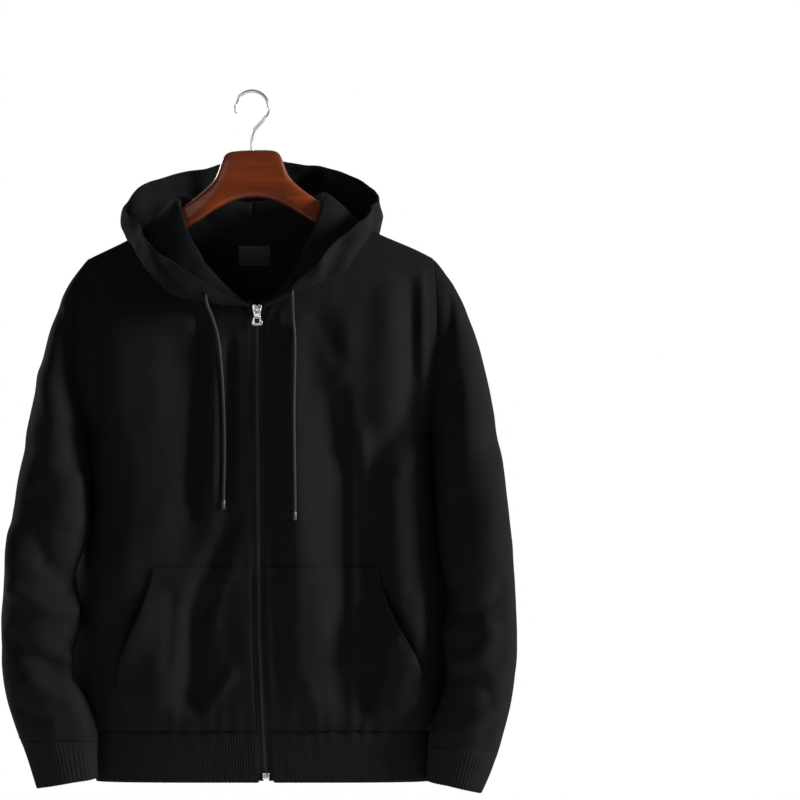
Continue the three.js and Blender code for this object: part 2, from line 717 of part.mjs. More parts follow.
// The pocket is the panel's own points under it, moved out by a gap and its thickness.
function pocket(side) {
  const grid = [];
  const normals = [];
  for (let row = pocketTopRow; row < panelRows.length; row += 1) {
    const along = (row - openingTopRow) / (openingEndRow - openingTopRow);
    const open = along > 0 && along < 1 ? Math.sin(along * Math.PI) : 0;
    const faces = frontFaces[sideOf(side)][row].slice(0, frontInnerCells + 1);
    normals.push(faces);
    grid.push(faces.map((face, c) => {
      const near = smooth((c - frontInnerCells + 3) / 3);
      const out = seamGap + fleece + pocketLift * open * near;
      return front[sideOf(side)][row][c].clone().addScaledVector(face, out);
    }));
  }
  return wall(grid, fleece, { flip: side > 0, normals });
}

// Outline of the hem band at a height, from the left zip edge round the back to the right one.
function hemLoop(z) {
  const bottom = panelRows.length - 1;
  const share = (grid, c) => {
    const row = grid[bottom];
    return (row[c].x - row[0].x) / (row[row.length - 1].x - row[0].x);
  };
  const last = front.left[0].length - 1;
  const frontAt = (side, c) => {
    const from = zipX(z) + side * zipHalfGap;
    const x = mix(from, edgeX(side, z), share(front[sideOf(side)], c));
    return bodyPoint('front', x, z);
  };
  const points = [];
  for (let c = 0; c < last; c += 1) points.push(frontAt(1, c));
  points.push(new THREE.Vector3(edgeX(1, z), 0, z));
  for (let c = backColumns - 2; c > 0; c -= 1) {
    const x = mix(edgeX(-1, z), edgeX(1, z), share(back, c));
    points.push(bodyPoint('back', x, z));
  }
  points.push(new THREE.Vector3(edgeX(-1, z), 0, z));
  for (let c = last - 1; c >= 0; c -= 1) points.push(frontAt(-1, c));
  return points;
}

const hemHeights = Array.from({ length: hemRows + 1 }, (_, i) => mix(hemSeamZ - seamGap, hemBottomZ, i / hemRows));
const hem = hemHeights.map(hemLoop);

function hemBand() {
  const normals = gridNormals(hem, { flip: true });
  const last = hem[0].length - 1;
  normals.forEach((row, r) => {
    if (r === 0 || r === hem.length - 1) normals[r] = row.map((normal) => without(normal, 'z'));
    normals[r][0] = new THREE.Vector3(0, -1, 0);
    normals[r][last] = new THREE.Vector3(0, -1, 0);
  });
  return wall(hem, rib, { flip: true, normals });
}

// One section of a sleeve, from its outer edge round the front to the inner edge and back.
function sleeveRing(rows, at, sides) {
  const value = (name) => read(rows, 'station', name, at);
  const outer = new THREE.Vector3(value('outerX'), 0, value('outerZ'));
  const inner = new THREE.Vector3(value('innerX'), 0, value('innerZ'));
  const centre = outer.clone().add(inner).divideScalar(2);
  const reach = outer.clone().sub(inner).divideScalar(2);
  const outward = new THREE.Vector3(-reach.z, 0, reach.x).normalize();
  if (outward.x * centre.x < 0) outward.negate();
  return Array.from({ length: sides }, (_, i) => {
    const angle = (i / sides) * 2 * Math.PI;
    const point = centre.clone().addScaledVector(reach, Math.cos(angle));
    point.y = -value('depth') * Math.sin(angle) - value('forward');
    return point.addScaledVector(outward, (value('push') || 0) * Math.sin(angle) ** 2);
  });
}

const numbered = (rows) => rows.map((row, i) => ({ push: 0, ...row, station: i / (rows.length - 1) }));

function sleeveFold(folds, along, around) {
  return folds.reduce((sum, fold) => {
    const from = (along - fold.along) / fold.length;
    const middle = fold.around + fold.turn * from * 0.5;
    const aside = (((around - middle + 540) % 360) - 180) / fold.width;
    return sum + fold.height * Math.exp(-from * from - aside * aside);
  }, 0);
}

function sleeve(side) {
  const name = sideOf(side);
  const rows = numbered(side > 0 ? leftSleeve : rightSleeve);
  const folds = side > 0 ? leftSleeveFolds : rightSleeveFolds;
  const loop = armhole[name].map((p) => p.clone().setX(p.x + side * seamGap));
  const sides = loop.length;
  const first = sleeveRing(rows, 0, sides);
  const away = loop.map((p, i) => p.clone().sub(first[i]));
  const grid = Array.from({ length: sleeveRings }, (_, r) => {
    const ring = sleeveRing(rows, r / (sleeveRings - 1), sides);
    return ring.map((p, i) => p.addScaledVector(away[i], armholeFade[r] || 0));
  });
  const plain = gridNormals(grid, { closed: true, flip: side < 0 });
  grid.forEach((ring, r) => ring.forEach((p, i) => {
    const along = r / (sleeveRings - 1);
    const ends = smooth((along - 0.04) / 0.12) * smooth((1 - along) / 0.08);
    const fromInner = ((i / sides) * 360 - 180) / 50;
    const inner = 1 - 0.85 * Math.exp(-fromInner * fromInner);
    p.addScaledVector(plain[r][i], sleeveFold(folds, along, (i / sides) * 360) * ends * inner);
  }));
  const normals = gridNormals(grid, { closed: true, flip: side < 0 });
  normals[0] = armholeNormals[name].map((normal) => normal.clone());
  normals[sleeveRings - 1] = ringNormals(grid[sleeveRings - 1], cuffAxis(side));
  return wall(grid, fleece, { closed: true, flip: side < 0, normals });
}

// The direction of a sleeve's end, square to the cuff seam and pointing down.
function cuffAxis(side) {
  const { outerX, outerZ: top, innerX, innerZ } = (side > 0 ? leftCuff : rightCuff)[0];
  const across = new THREE.Vector3(outerX - innerX, 0, top - innerZ).normalize();
  const axis = new THREE.Vector3(across.z, 0, -across.x);
  return axis.z > 0 ? axis.negate() : axis;
}

function cuff(side) {
  const rows = numbered(side > 0 ? leftCuff : rightCuff);
  const sides = armhole.left.length;
  const axis = cuffAxis(side);
  const cells = 3;
  const grid = Array.from({ length: cells + 1 }, (_, r) => sleeveRing(rows, r / cells, sides));
  grid[0].forEach((p) => p.addScaledVector(axis, seamGap));
  const normals = gridNormals(grid, { closed: true, flip: side < 0 });
  normals[0] = ringNormals(grid[0], axis);
  return wall(grid, rib, { closed: true, flip: side < 0, normals });
}

// Half of the hood. Rows run up the section, columns from the zip to the middle of the back.
function hood(side) {
  const name = sideOf(side);
  const places = [];
  neck[name].forEach((seam, i) => {
    const row = hoodSections[i];
    const follow = i < neckRow ? neckline[neckRow - i].follow * zipX(seam.z) : 0;
    const place = (x, y, z, lift) => new THREE.Vector3(side * x + follow, y, z + tilt * side * x + (side > 0 ? lift : 0));
    const start = seam.clone();
    start.z += neckSeamGap;
    if (i === neck[name].length - 1) start.x = side * seamGap / 2;
    const crest = place(row.crestX, row.crestY, row.crestZ, 0);
    const fold = place(row.foldX, row.foldY, row.foldZ, row.liftFold);
    const rim = place(row.rimX, row.rimY, row.rimZ, row.liftRim);
    const outward = new THREE.Vector3(fold.x - crest.x, fold.y - crest.y, 0).normalize();
    if (i === 0 || i === neck[name].length - 1) outward.setX(0).normalize();
    const size = clamp((rim.z - fold.z) / 60, 0, 1);
    const fall = crest.clone().lerp(fold, 0.5).addScaledVector(outward, -hoodInset * size);
    const belly = fold.clone().lerp(rim, 0.5).addScaledVector(outward, hoodBelly * size);
    places.push([start, crest, fall, fold, belly, rim]);
  });
  const rows = (places[0].length - 1) * hoodStep;
  const curves = places.map((points) => new THREE.CatmullRomCurve3(points, false, 'centripetal'));
  const grid = Array.from({ length: rows + 1 }, (_, r) => curves.map((curve) => curve.getPoint(r / rows)));
  const normals = gridNormals(grid, { flip: side < 0 });
  const last = grid[0].length - 1;
  grid.forEach((row, r) => {
    normals[r][0] = without(normals[r][0], 'x');
    normals[r][last] = without(normals[r][last], 'x');
  });
  normals[0] = neckNormals[name].map((normal) => normal.clone());
  const thickness = (r, c) => mix(hoodEdgeCloth, hoodCloth, smooth(c / 2)) * (r === 0 ? fleece / hoodCloth : 1);
  return wall(grid, thickness, { flip: side < 0, normals });
}

// The zip's own line: points on the cloth's edge from the neck to the hem, with their normals.
function zipEdge(side) {
  const name = sideOf(side);
  const points = [];
  const top = front[name][neckRow][0].clone();
  points.push({ at: top.clone().setZ(zipTopZ), face: new THREE.Vector3(0, -1, 0) });
  for (let row = neckRow; row < panelRows.length; row += 1) {
    points.push({ at: front[name][row][0], face: frontFaces[name][row][0] });
  }
  const hemColumn = side > 0 ? 0 : hem[0].length - 1;
  hem.slice(1).forEach((loop) => points.push({ at: loop[hemColumn], face: new THREE.Vector3(0, -1, 0) }));
  return points;
}

// A strip that follows the zip's line, set behind the cloth's face, between two offsets from it.
function zipStrip(side, fromX, toX, set, thickness, fromZ, toZ) {
  const edge = zipEdge(side);
  const between = (z) => {
    const i = Math.max(1, edge.findIndex(({ at }) => at.z <= z));
    const [above, below] = [edge[i - 1], edge[i]];
    const t = (z - above.at.z) / (below.at.z - above.at.z);
    return { at: above.at.clone().lerp(below.at, t), face: above.face.clone().lerp(below.face, t).normalize() };
  };
  const middle = edge.filter(({ at }) => at.z < fromZ - 4 && at.z > toZ + 4);
  const rows = [between(fromZ), ...middle, between(toZ)];
  const grid = rows.map(({ at, face }) => {
    const { y, z } = at.clone().addScaledVector(face, -set);
    return [fromX, toX].map((x) => new THREE.Vector3(zipX(z) + side * x, y, z));
  });
  const normals = rows.map(({ face }) => [face, face]);
  return wall(grid, thickness, { flip: side > 0, normals });
}

const zipTape = (side) => zipStrip(side, tapeInner, tapeOuter, tapeSet, tapeThickness, zipTopZ, hemBottomZ + 2);
const zipChain = () => zipStrip(1, -chainWidth / 2, chainWidth / 2, chainSet, chainThickness, chainTopZ, chainEndZ);

// A flat plate in the XZ plane from its outline and holes, its front face at frontY.
function plate(outline, holes, thickness, frontY) {
  const shape = new THREE.Shape(outline.map(([x, z]) => new THREE.Vector2(x, z)));
  holes.forEach((hole) => shape.holes.push(new THREE.Path(hole.map(([x, z]) => new THREE.Vector2(x, z)))));
  const geometry = new THREE.ExtrudeGeometry(shape, { depth: thickness, bevelEnabled: false });
  geometry.rotateX(Math.PI / 2);
  geometry.translate(0, frontY + thickness, 0);
  return geometry;
}

const rectangle = (left, right, bottom, top) => [[left, bottom], [right, bottom], [right, top], [left, top]];

function toManifold(geometry) {
  const bare = geometry.clone();
  bare.deleteAttribute('normal');
  bare.deleteAttribute('uv');
  const merged = mergeVertices(bare, 1e-4);
  const vertProperties = new Float32Array(merged.attributes.position.array);
  const triVerts = new Uint32Array(merged.index.array);
  return new wasm.Manifold(new wasm.Mesh({ numProp: 3, vertProperties, triVerts }));
}

function fromManifold(solid) {
  const mesh = solid.getMesh();
  const geometry = new THREE.BufferGeometry();
  geometry.setAttribute('position', new THREE.Float32BufferAttribute(mesh.vertProperties, 3));
  geometry.setIndex([...mesh.triVerts]);
  geometry.computeVertexNormals();
  return geometry;
}

const pivotX = zipX(pivotZ);
const pivotY = sliderY - sliderThickness - archOpening / 2;

// The slider: a shield shaped body with a small arch in front that traps the pull's bar.
function zipSlider() {
  const end = sliderTopZ - sliderHeight;
  const top = sliderTopWidth / 2;
  const foot = sliderEndWidth / 2;
  const shoulder = 2;
  const outline = [
    [pivotX - foot + 1, end], [pivotX + foot - 1, end], [pivotX + foot, end + 1],
    [pivotX + top, sliderTopZ - 4], [pivotX + top, sliderTopZ - 1], [pivotX + top - 1, sliderTopZ],
    [pivotX + shoulder, sliderTopZ], [pivotX, sliderTopZ - 1.5], [pivotX - shoulder, sliderTopZ],
    [pivotX - top + 1, sliderTopZ], [pivotX - top, sliderTopZ - 1], [pivotX - top, sliderTopZ - 4],
    [pivotX - foot, end + 1],
  ];
  const shield = plate(outline, [], sliderThickness, sliderY - sliderThickness);
  const half = archOpening / 2;
  const sunk = 0.5;
  const arch = new THREE.Shape([
    new THREE.Vector2(sunk, -half - archWall), new THREE.Vector2(-archOpening - archWall + 1, -half - archWall),
    new THREE.Vector2(-archOpening - archWall, -half), new THREE.Vector2(-archOpening - archWall, half),
    new THREE.Vector2(-archOpening - archWall + 1, half + archWall), new THREE.Vector2(sunk, half + archWall),
    new THREE.Vector2(sunk, half), new THREE.Vector2(-archOpening, half),
    new THREE.Vector2(-archOpening, -half), new THREE.Vector2(sunk, -half),
  ]);
  const bow = new THREE.ExtrudeGeometry(arch, { depth: archWidth, bevelEnabled: false });
  bow.applyMatrix4(new THREE.Matrix4().makeBasis(
    new THREE.Vector3(0, 1, 0), new THREE.Vector3(0, 0, 1), new THREE.Vector3(1, 0, 0),
  ));
  bow.translate(pivotX - archWidth / 2, sliderY - sliderThickness, pivotZ);
  return fromManifold(toManifold(shield).add(toManifold(bow)));
}

// The pull tab, hanging from its bar in the slider's arch.
function zipPull() {
  const bar = pullBar / 2;
  const top = pullTopWidth / 2;
  const waist = pullWaist / 2;
  const foot = pullEndWidth / 2;
  const end = pivotZ + bar - pullLength;
  const outline = [
    [pivotX - foot + 1.5, end], [pivotX + foot - 1.5, end], [pivotX + foot, end + 1.5],
    [pivotX + foot - 0.5, end + 4], [pivotX + waist, end + 10], [pivotX + waist, end + 13],
    [pivotX + top, pivotZ - 3], [pivotX + top, pivotZ], [pivotX + top - 0.8, pivotZ + bar],
    [pivotX - top + 0.8, pivotZ + bar], [pivotX - top, pivotZ], [pivotX - top, pivotZ - 3],
    [pivotX - waist, end + 13], [pivotX - waist, end + 10], [pivotX - foot + 0.5, end + 4],
    [pivotX - foot, end + 1.5],
  ];
  const slot = rectangle(
    pivotX - pullSlot.width / 2, pivotX + pullSlot.width / 2, pivotZ - bar - pullSlot.length, pivotZ - bar,
  );
  const window = rectangle(pivotX - 2.6, pivotX + 2.6, end + 2.4, end + 8);
  return plate(outline, [slot, window], pullThickness, pivotY - pullThickness / 2);
}

function zipStop() {
  const z = chainEndZ - seamGap - stopSize.height / 2;
  const x = zipX(z);
  const tapeFace = hem[hem.length - 1][0].y + tapeSet;
  const outline = rectangle(
    x - stopSize.width / 2, x + stopSize.width / 2, z - stopSize.height / 2, z + stopSize.height / 2,
  );
  return plate(outline, [], stopSize.depth, tapeFace - 3 * seamGap - stopSize.depth);
}

// The label lies on the inner face of the back panel, just under the neck seam.
function neckLabel() {
  const cells = 4;
  const grid = [0, 1, 2].map((r) => Array.from({ length: cells + 1 }, (_, c) => {
    const x = mix(label.right, label.left, c / cells);
    const z = mix(label.top, label.bottom, r / 2);
    const point = bodyPoint('back', x, z);
    point.y -= fleece * 1.25 + label.gap;
    return point;
  }));
  return wall(grid, label.thickness);
}

// A section of the hanger's arm: an upright oval.
function woodRing(x) {
  const across = Math.abs(x);
  const value = (name) => read(wood, 'x', name, across);
  const underCloth = shoulderZ(x) - read(woodDrop, 'x', 'drop', Math.max(across, woodUnderCloth));
  const blend = smooth((across - woodUnderCloth + 8) / 8);
  const top = mix(value('top') + tilt * x, underCloth, blend);
  const bottom = Math.min(value('bottom') + tilt * x, top - 8);
  const half = value('half');
  return Array.from({ length: woodSides }, (_, i) => {
    const angle = (i / woodSides) * 2 * Math.PI + Math.PI / woodSides;
    const round = 0.72;
    const s = Math.sin(angle);
    const c = Math.cos(angle);
    const y = half * Math.sign(c) * Math.abs(c) ** round;
    const up = across < woodUnderCloth ? Math.sign(s) * Math.abs(s) ** round : s;
    return new THREE.Vector3(x, y, (top + bottom) / 2 + (top - bottom) / 2 * up);
  });
}

function hangerWood() {
  const stations = wood.map((row) => row.x);
  const places = [...stations.slice(1).map((x) => -x).reverse(), ...stations];
  return loft(places.map(woodRing));
}

function hangerHook() {
  const points = [[0, 0, stemFootZ], [0, 0, -56], [1.5, 0, -47], [8, 0, -39]];
  for (let degrees = -45; degrees <= 200; degrees += 35) {
    const angle = degrees * Math.PI / 180;
    points.push([hookRadius * Math.cos(angle), 0, hookCentreZ + hookRadius * Math.sin(angle)]);
  }
  return tube(points, 2 * wireRadius, 8, 4);
}

function cordTip(points) {
  const [x, y, z] = points[points.length - 1];
  const geometry = new THREE.CylinderGeometry(tipDiameter / 2, tipDiameter / 2, tipLength, 8);
  geometry.rotateX(Math.PI / 2);
  geometry.translate(x, y, z - seamGap - tipLength / 2);
  return geometry;
}

const cord = (points) => tube(points, cordDiameter, 8, cordStep);

const hoodie = new THREE.Group();
const add = (name, geometry, material) => {
  const mesh = new THREE.Mesh(geometry, material);
  mesh.name = name;
  hoodie.add(mesh);
};

[1, -1].forEach((side) => {
  const name = sideOf(side);
  add(`front_${name}`, frontPanel(side), paint.fleece);
  add(`sleeve_${name}`, sleeve(side), paint.fleece);
  add(`cuff_${name}`, cuff(side), paint.rib);
  add(`hood_${name}`, hood(side), paint.fleece);
  add(`pocket_${name}`, pocket(side), paint.fleece);
  add(`zip_tape_${name}`, zipTape(side), paint.tape);
  const route = side > 0 ? cordLeft : cordRight;
  add(`drawcord_${name}`, cord(route), paint.cord);
  add(`cord_tip_${name}`, cordTip(route), paint.metal);
});
add('back', backPanel(), paint.fleece);
add('hem_band', hemBand(), paint.rib);
add('zip_chain', zipChain(), paint.metal);
add('zip_slider', zipSlider(), paint.metal);
add('zip_pull', zipPull(), paint.metal);
add('zip_stop', zipStop(), paint.metal);
add('neck_label', neckLabel(), paint.label);
add('hanger_wood', hangerWood(), paint.wood);
add('hanger_hook', hangerHook(), paint.steel);

export default hoodie;
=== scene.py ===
import math
import bmesh
import bpy
import numpy as np
from mathutils import Matrix, Vector, noise
from mathutils.bvhtree import BVHTree


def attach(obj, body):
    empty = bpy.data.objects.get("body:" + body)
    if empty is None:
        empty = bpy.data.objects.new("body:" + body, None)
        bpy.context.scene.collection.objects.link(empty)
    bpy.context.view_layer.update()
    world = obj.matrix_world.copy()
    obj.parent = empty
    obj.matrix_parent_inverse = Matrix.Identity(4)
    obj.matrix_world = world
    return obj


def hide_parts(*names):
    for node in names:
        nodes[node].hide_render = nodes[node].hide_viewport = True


# Lengths in the tables are millimetres, meshes are metres, +X is the wearer's left.
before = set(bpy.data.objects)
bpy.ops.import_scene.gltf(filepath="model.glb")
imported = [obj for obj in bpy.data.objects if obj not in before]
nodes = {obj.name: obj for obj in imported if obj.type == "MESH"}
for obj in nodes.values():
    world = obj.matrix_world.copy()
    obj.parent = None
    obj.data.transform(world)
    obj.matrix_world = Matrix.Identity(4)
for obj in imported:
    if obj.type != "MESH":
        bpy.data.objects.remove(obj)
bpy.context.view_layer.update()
scene = bpy.context.scene
print("frame loaded")

view = {"x": 0.1776, "z": -0.369, "away": 7.0, "width": 0.96}
camera = bpy.data.objects.new("camera", bpy.data.cameras.new("camera"))
scene.collection.objects.link(camera)
camera.location = (view["x"], -view["away"], view["z"])
camera.rotation_euler = (math.pi / 2, 0, 0)
camera.data.sensor_width = 36
camera.data.lens = 36 * view["away"] / view["width"]
camera.data.clip_end = 100
scene.camera = camera
scene.view_settings.view_transform = "Standard"


def smooth(value):
    inside = np.clip(value, 0, 1)
    return inside * inside * (3 - 2 * inside)


def mix(a, b, share):
    return a + (b - a) * share


# Soft ridges and troughs: two ends, sideways bow, height, half width, and how far the steeper
# flank leans to the right of a line that runs down.
def ridges(rows, x, z):
    total = np.zeros_like(x)
    for fromX, fromZ, toX, toZ, bow, height, width, lean in rows:
        runX, runZ = toX - fromX, toZ - fromZ
        length = math.hypot(runX, runZ)
        along = ((x - fromX) * runX + (z - fromZ) * runZ) / length**2
        inside = np.clip(along, 0, 1)
        aside = (-(x - fromX) * runZ + (z - fromZ) * runX) / length - bow * 4 * inside * (1 - inside)
        reach = np.where(aside > 0, width * (1 - lean), width * (1 + lean))
        beyond = np.abs(along - inside) * length / (1.3 * width)
        fade = smooth(np.minimum(along, 1 - along) * 4 + 0.5)
        total += height * np.exp(-((aside / reach) ** 2) - beyond**2) * fade
    return total


def softNoise(places, scales, seed):
    wide, deep, high = scales
    return np.array([noise.noise(Vector((x / wide + seed, y / deep, z / high))) for x, y, z in places])


def zipX(z):
    return np.interp(z, [-826, -764, -650, -400, -250], [18, 14.5, 10, 8, 7.5])


zipHalfGap = 8.5
hemSeamZ = -764

# Creases of the fronts in the front view, shared by the panels, the pockets and the band.
frontCreases = [
    (-64, -258, -56, -345, 3, -5, 6, 0.2),
    (-56, -345, -66, -505, -2, -6, 8, 0.25),
    (-46, -285, -45, -480, 1, 3.5, 6.5, 0),
    (-23, -300, -24, -500, 0, -4.5, 6, 0.2),
    (-170, -250, -164, -640, 4, 12, 32, 0),
    (-82, -290, -78, -560, 0, -7, 26, 0),
    (-190, -228, -184, -405, 3, -6, 8, 0),
    (-206, -450, -196, -560, 0, 3, 9, 0),
    (-8, -505, -64, -600, -5, -6, 10, 0.2),
    (-20, -560, -48, -640, -3, 3, 9, 0),
    (-50, -600, -70, -738, -6, -7.5, 16, 0.3),
    (-20, -690, -62, -752, 0, 5, 8, 0),
    (-132, -585, -116, -740, 2, 2, 14, -0.2),
    (-93, -600, -100, -690, 0, -3.5, 8, 0),
    (-146, -690, -122, -752, 3, -4.5, 7, 0.2),
    (-70, -610, -60, -750, 4, -6, 16, 0),
    (-166, -640, -178, -740, 0, -4.5, 12, 0),
    (-188, -560, -172, -620, 0, 3.5, 10, 0),
    (50, -290, 58, -740, -3, 7, 17, 0),
    (92, -340, 90, -560, 0, -4, 14, 0),
    (107, -365, 110, -760, 2, -13, 14, 0.35),
    (136, -440, 138, -750, 0, -8, 20, 0),
    (188, -430, 190, -735, 0, 13, 30, 0),
    (166, -235, 168, -400, 0, 8.5, 24, 0),
    (24, -330, 33, -740, -2, -5, 9, 0),
    (34, -262, 34, -330, 0, 2.5, 6, 0),
    (210, -345, 152, -432, 4, -6, 13, 0.2),
    (232, -372, 176, -455, 4, 5, 13, 0),
    (189, -225, 190, -385, 2, -6, 9, 0.2),
    (206, -215, 207, -385, 0, 4, 6, 0),
    (74, -268, 108, -330, 4, -3, 12, 0),
    (120, -262, 96, -360, 4, 2.5, 14, 0),
    (133, -405, 138, -520, 0, 5, 8, 0),
    (176, -640, 150, -748, -4, 5.5, 10, 0),
    (197, -600, 200, -668, 0, 5, 9, 0),
    (150, -690, 132, -752, 0, -4.5, 9, 0),
    (70, -700, 78, -756, 0, 3, 8, 0),
]
backCreases = [
    (-60, -262, -96, -520, 8, 3.5, 10, 0.2),
    (60, -262, 98, -520, -8, 3.5, 10, -0.2),
    (-20, -300, -40, -700, 6, -3, 13, 0.2),
    (20, -330, 46, -690, -8, 3, 12, -0.2),
    (-150, -300, -118, -560, 10, -3, 12, 0),
    (152, -320, 120, -600, -8, -3, 12, 0),
    (-186, -360, -160, -470, 4, 3, 9, 0),
    (190, -380, 168, -500, -4, 3, 9, 0),
    (-120, -600, -128, -752, 0, 3, 9, 0),
    (-60, -650, -66, -752, 2, -3, 8, 0),
    (90, -640, 98, -752, -2, 3, 9, 0),
    (150, -650, 158, -752, 0, -3, 9, 0),
]


def gathers(x, z, seamZ, seed):
    above = np.maximum(z - seamZ, 0)
    below = np.maximum(seamZ - z, 0)
    drift = np.array([noise.noise(Vector((value / 38, seed, 0))) for value in x])
    size = np.array([noise.noise(Vector((value / 52, seed + 5, 0))) for value in x])
    wave = np.sin(2 * math.pi * x / 19 + 4 * drift) * (0.9 + 1.5 * size)
    return wave * np.exp(-above / 24) * np.exp(-below / 6)


def toHem(z):
    return np.where(z > hemSeamZ, mix(0.35, 1, smooth((z - hemSeamZ) / 45)), 0.35 * smooth((z + 812) / 48))


def frontHeight(x, z):
    places = np.stack([x, np.zeros_like(x), z], axis=1)
    waves = 1.6 * softNoise(places, (46, 50, 120), 3) + 0.7 * softNoise(places, (20, 50, 46), 9)
    toZip = smooth((np.abs(x - zipX(z)) - zipHalfGap - 5) / 14)
    nearZip = np.exp(-((np.abs(x - zipX(z)) - zipHalfGap) / 16) ** 2)
    pucker = 0.35 * np.sin(2 * math.pi * z / 27 + 1.5 * np.sin(z / 60)) * nearZip * smooth((-290 - z) / 30)
    creases = (ridges(frontCreases, x, z) + waves) * toHem(z) * toZip
    return creases + 1.1 * gathers(x, z, hemSeamZ, 1) * toZip + pucker


def backHeight(x, z):
    places = np.stack([x, np.zeros_like(x), z], axis=1)
    waves = 1.8 * softNoise(places, (48, 50, 110), 31) + 0.7 * softNoise(places, (20, 50, 46), 37)
    return (ridges(backCreases, x, z) + waves) * toHem(z) + 1.3 * gathers(x, z, hemSeamZ, 7)


# A smooth path through the points of a route, with a point every step millimetres.
def rounded(route, step):
    points = [Vector(p) for p in route]
    points = [points[0] * 2 - points[1]] + points + [points[-1] * 2 - points[-2]]
    found = []
    for a, b, c, d in zip(points, points[1:], points[2:], points[3:]):
        ta, tb = 0, (b - a).length ** 0.5
        tc = tb + (c - b).length ** 0.5
        td = tc + (d - c).length ** 0.5
        count = max(1, round((c - b).length / step))
        for i in range(count):
            t = tb + (tc - tb) * i / count
            ab = a.lerp(b, (t - ta) / (tb - ta))
            bc = b.lerp(c, (t - tb) / (tc - tb))
            cd = c.lerp(d, (t - tc) / (td - tc))
            abc = ab.lerp(bc, (t - ta) / (tc - ta))
            bcd = bc.lerp(cd, (t - tb) / (td - tb))
            found.append(abc.lerp(bcd, (t - tb) / (tc - tb)))
    found.append(points[-2])
    return found


def newObject(name, bm):
    mesh = bpy.data.meshes.new(name)
    bm.to_mesh(mesh)
    bm.free()
    piece = bpy.data.objects.new(name, mesh)
    scene.collection.objects.link(piece)
    return piece


# A closed tube along a path in millimetres; bump(turn, along) is what it adds to its radius.
def sweep(name, path, radius, sides, bump=None):
    bm = bmesh.new()
    ring = bmesh.ops.create_circle(bm, cap_ends=False, segments=sides, radius=1)["verts"]
    turns = [math.atan2(v.co.y, v.co.x) for v in ring]
    edges = list(bm.edges)
    side = Vector((1, 0, 0))
    along = 0
    for i, point in enumerate(path):
        ahead = (path[min(i + 1, len(path) - 1)] - path[max(i - 1, 0)]).normalized()
        side = (side - ahead * side.dot(ahead)).normalized()
        up = ahead.cross(side)
        if i:
            along += (point - path[i - 1]).length
            made = bmesh.ops.extrude_edge_only(bm, edges=edges)["geom"]
            ring = [v for v in made if isinstance(v, bmesh.types.BMVert)]
            edges = [e for e in made if isinstance(e, bmesh.types.BMEdge)]
        for vert, turn in zip(ring, turns):
            reach = radius + (bump(turn, along) if bump else 0)
            vert.co = (point + (side * math.cos(turn) + up * math.sin(turn)) * reach) / 1000
    bmesh.ops.holes_fill(bm, edges=[e for e in bm.edges if e.is_boundary], sides=0)
    bmesh.ops.recalc_face_normals(bm, faces=bm.faces)
    return newObject(name, bm)


cords = {
    "diameter": 3.6,
    "strands": 6,
    "lay": 5.2,  # length of one turn of a strand
    "relief": 0.16,
    "right": [
        (-53, -82.8, -245), (-53, -86, -246), (-52.4, -87.5, -250.5), (-50.5, -84, -257.5),
        (-47, -76, -266.5), (-43.5, -67, -277), (-40, -63.2, -290), (-37.4, -62.8, -305),
        (-35, -62.5, -330), (-33.4, -62.3, -355), (-32.2, -62, -385), (-31.4, -61.4, -417),
        (-31.6, -60.9, -445), (-32.2, -60.5, -470), (-32.4, -59.7, -489),
    ],
    "left": [
        (50, -81.1, -239.5), (50, -84.4, -240.8), (50, -85.5, -245.5), (50.2, -83, -253.5),
        (50.4, -76, -262.5), (50.8, -69.5, -273.5), (51.8, -67.2, -286), (52.6, -68.2, -302),
        (52.4, -69.5, -330), (51.8, -70.2, -360), (51.6, -70.5, -395), (52, -70.1, -430),
        (52.6, -69.2, -465), (52.8, -68.6, -490), (52.8, -68.2, -502),
    ],
}


# The cords lie on the fronts, so they follow the same creases.
def cordPath(side):
    path = rounded(cords[side], 0.65)
    x = np.array([p.x for p in path])
    z = np.array([p.z for p in path])
    lift = frontHeight(x, z) * smooth((-278 - z) / 30)
    return [Vector((p.x, p.y - max(out, -0.6), p.z)) for p, out in zip(path, lift)]


def braid(turn, along):
    phase = 2 * math.pi * along / cords["lay"]
    strands = cords["strands"] * turn
    return cords["relief"] * math.cos(strands + phase) * math.cos(strands - phase)


cordPaths = {side: cordPath(side) for side in ("right", "left")}
cordPieces = {
    side: sweep("drawcordBraid." + side, path, cords["diameter"] / 2, 20, braid)
    for side, path in cordPaths.items()
}
print("cords made")


# A value inside a material: sums and products of values add their Math nodes.
class Value:
    def __init__(self, tree, socket):
        self.tree = tree
        self.socket = socket

    def math(self, operation, *parts):
        node = self.tree.nodes.new("ShaderNodeMath")
        node.operation = operation
        for slot, part in zip(node.inputs, parts):
            if isinstance(part, Value):
                self.tree.links.new(part.socket, slot)
            else:
                slot.default_value = part
        return Value(self.tree, node.outputs[0])

    def __add__(self, other):
        return self.math("ADD", self, other)

    def __radd__(self, other):
        return self.math("ADD", other, self)

    def __sub__(self, other):
        return self.math("SUBTRACT", self, other)

    def __rsub__(self, other):
        return self.math("SUBTRACT", other, self)

    def __mul__(self, other):
        return self.math("MULTIPLY", self, other)

    def __rmul__(self, other):
        return self.math("MULTIPLY", other, self)

    def __pow__(self, other):
        return self.math("POWER", self, other)


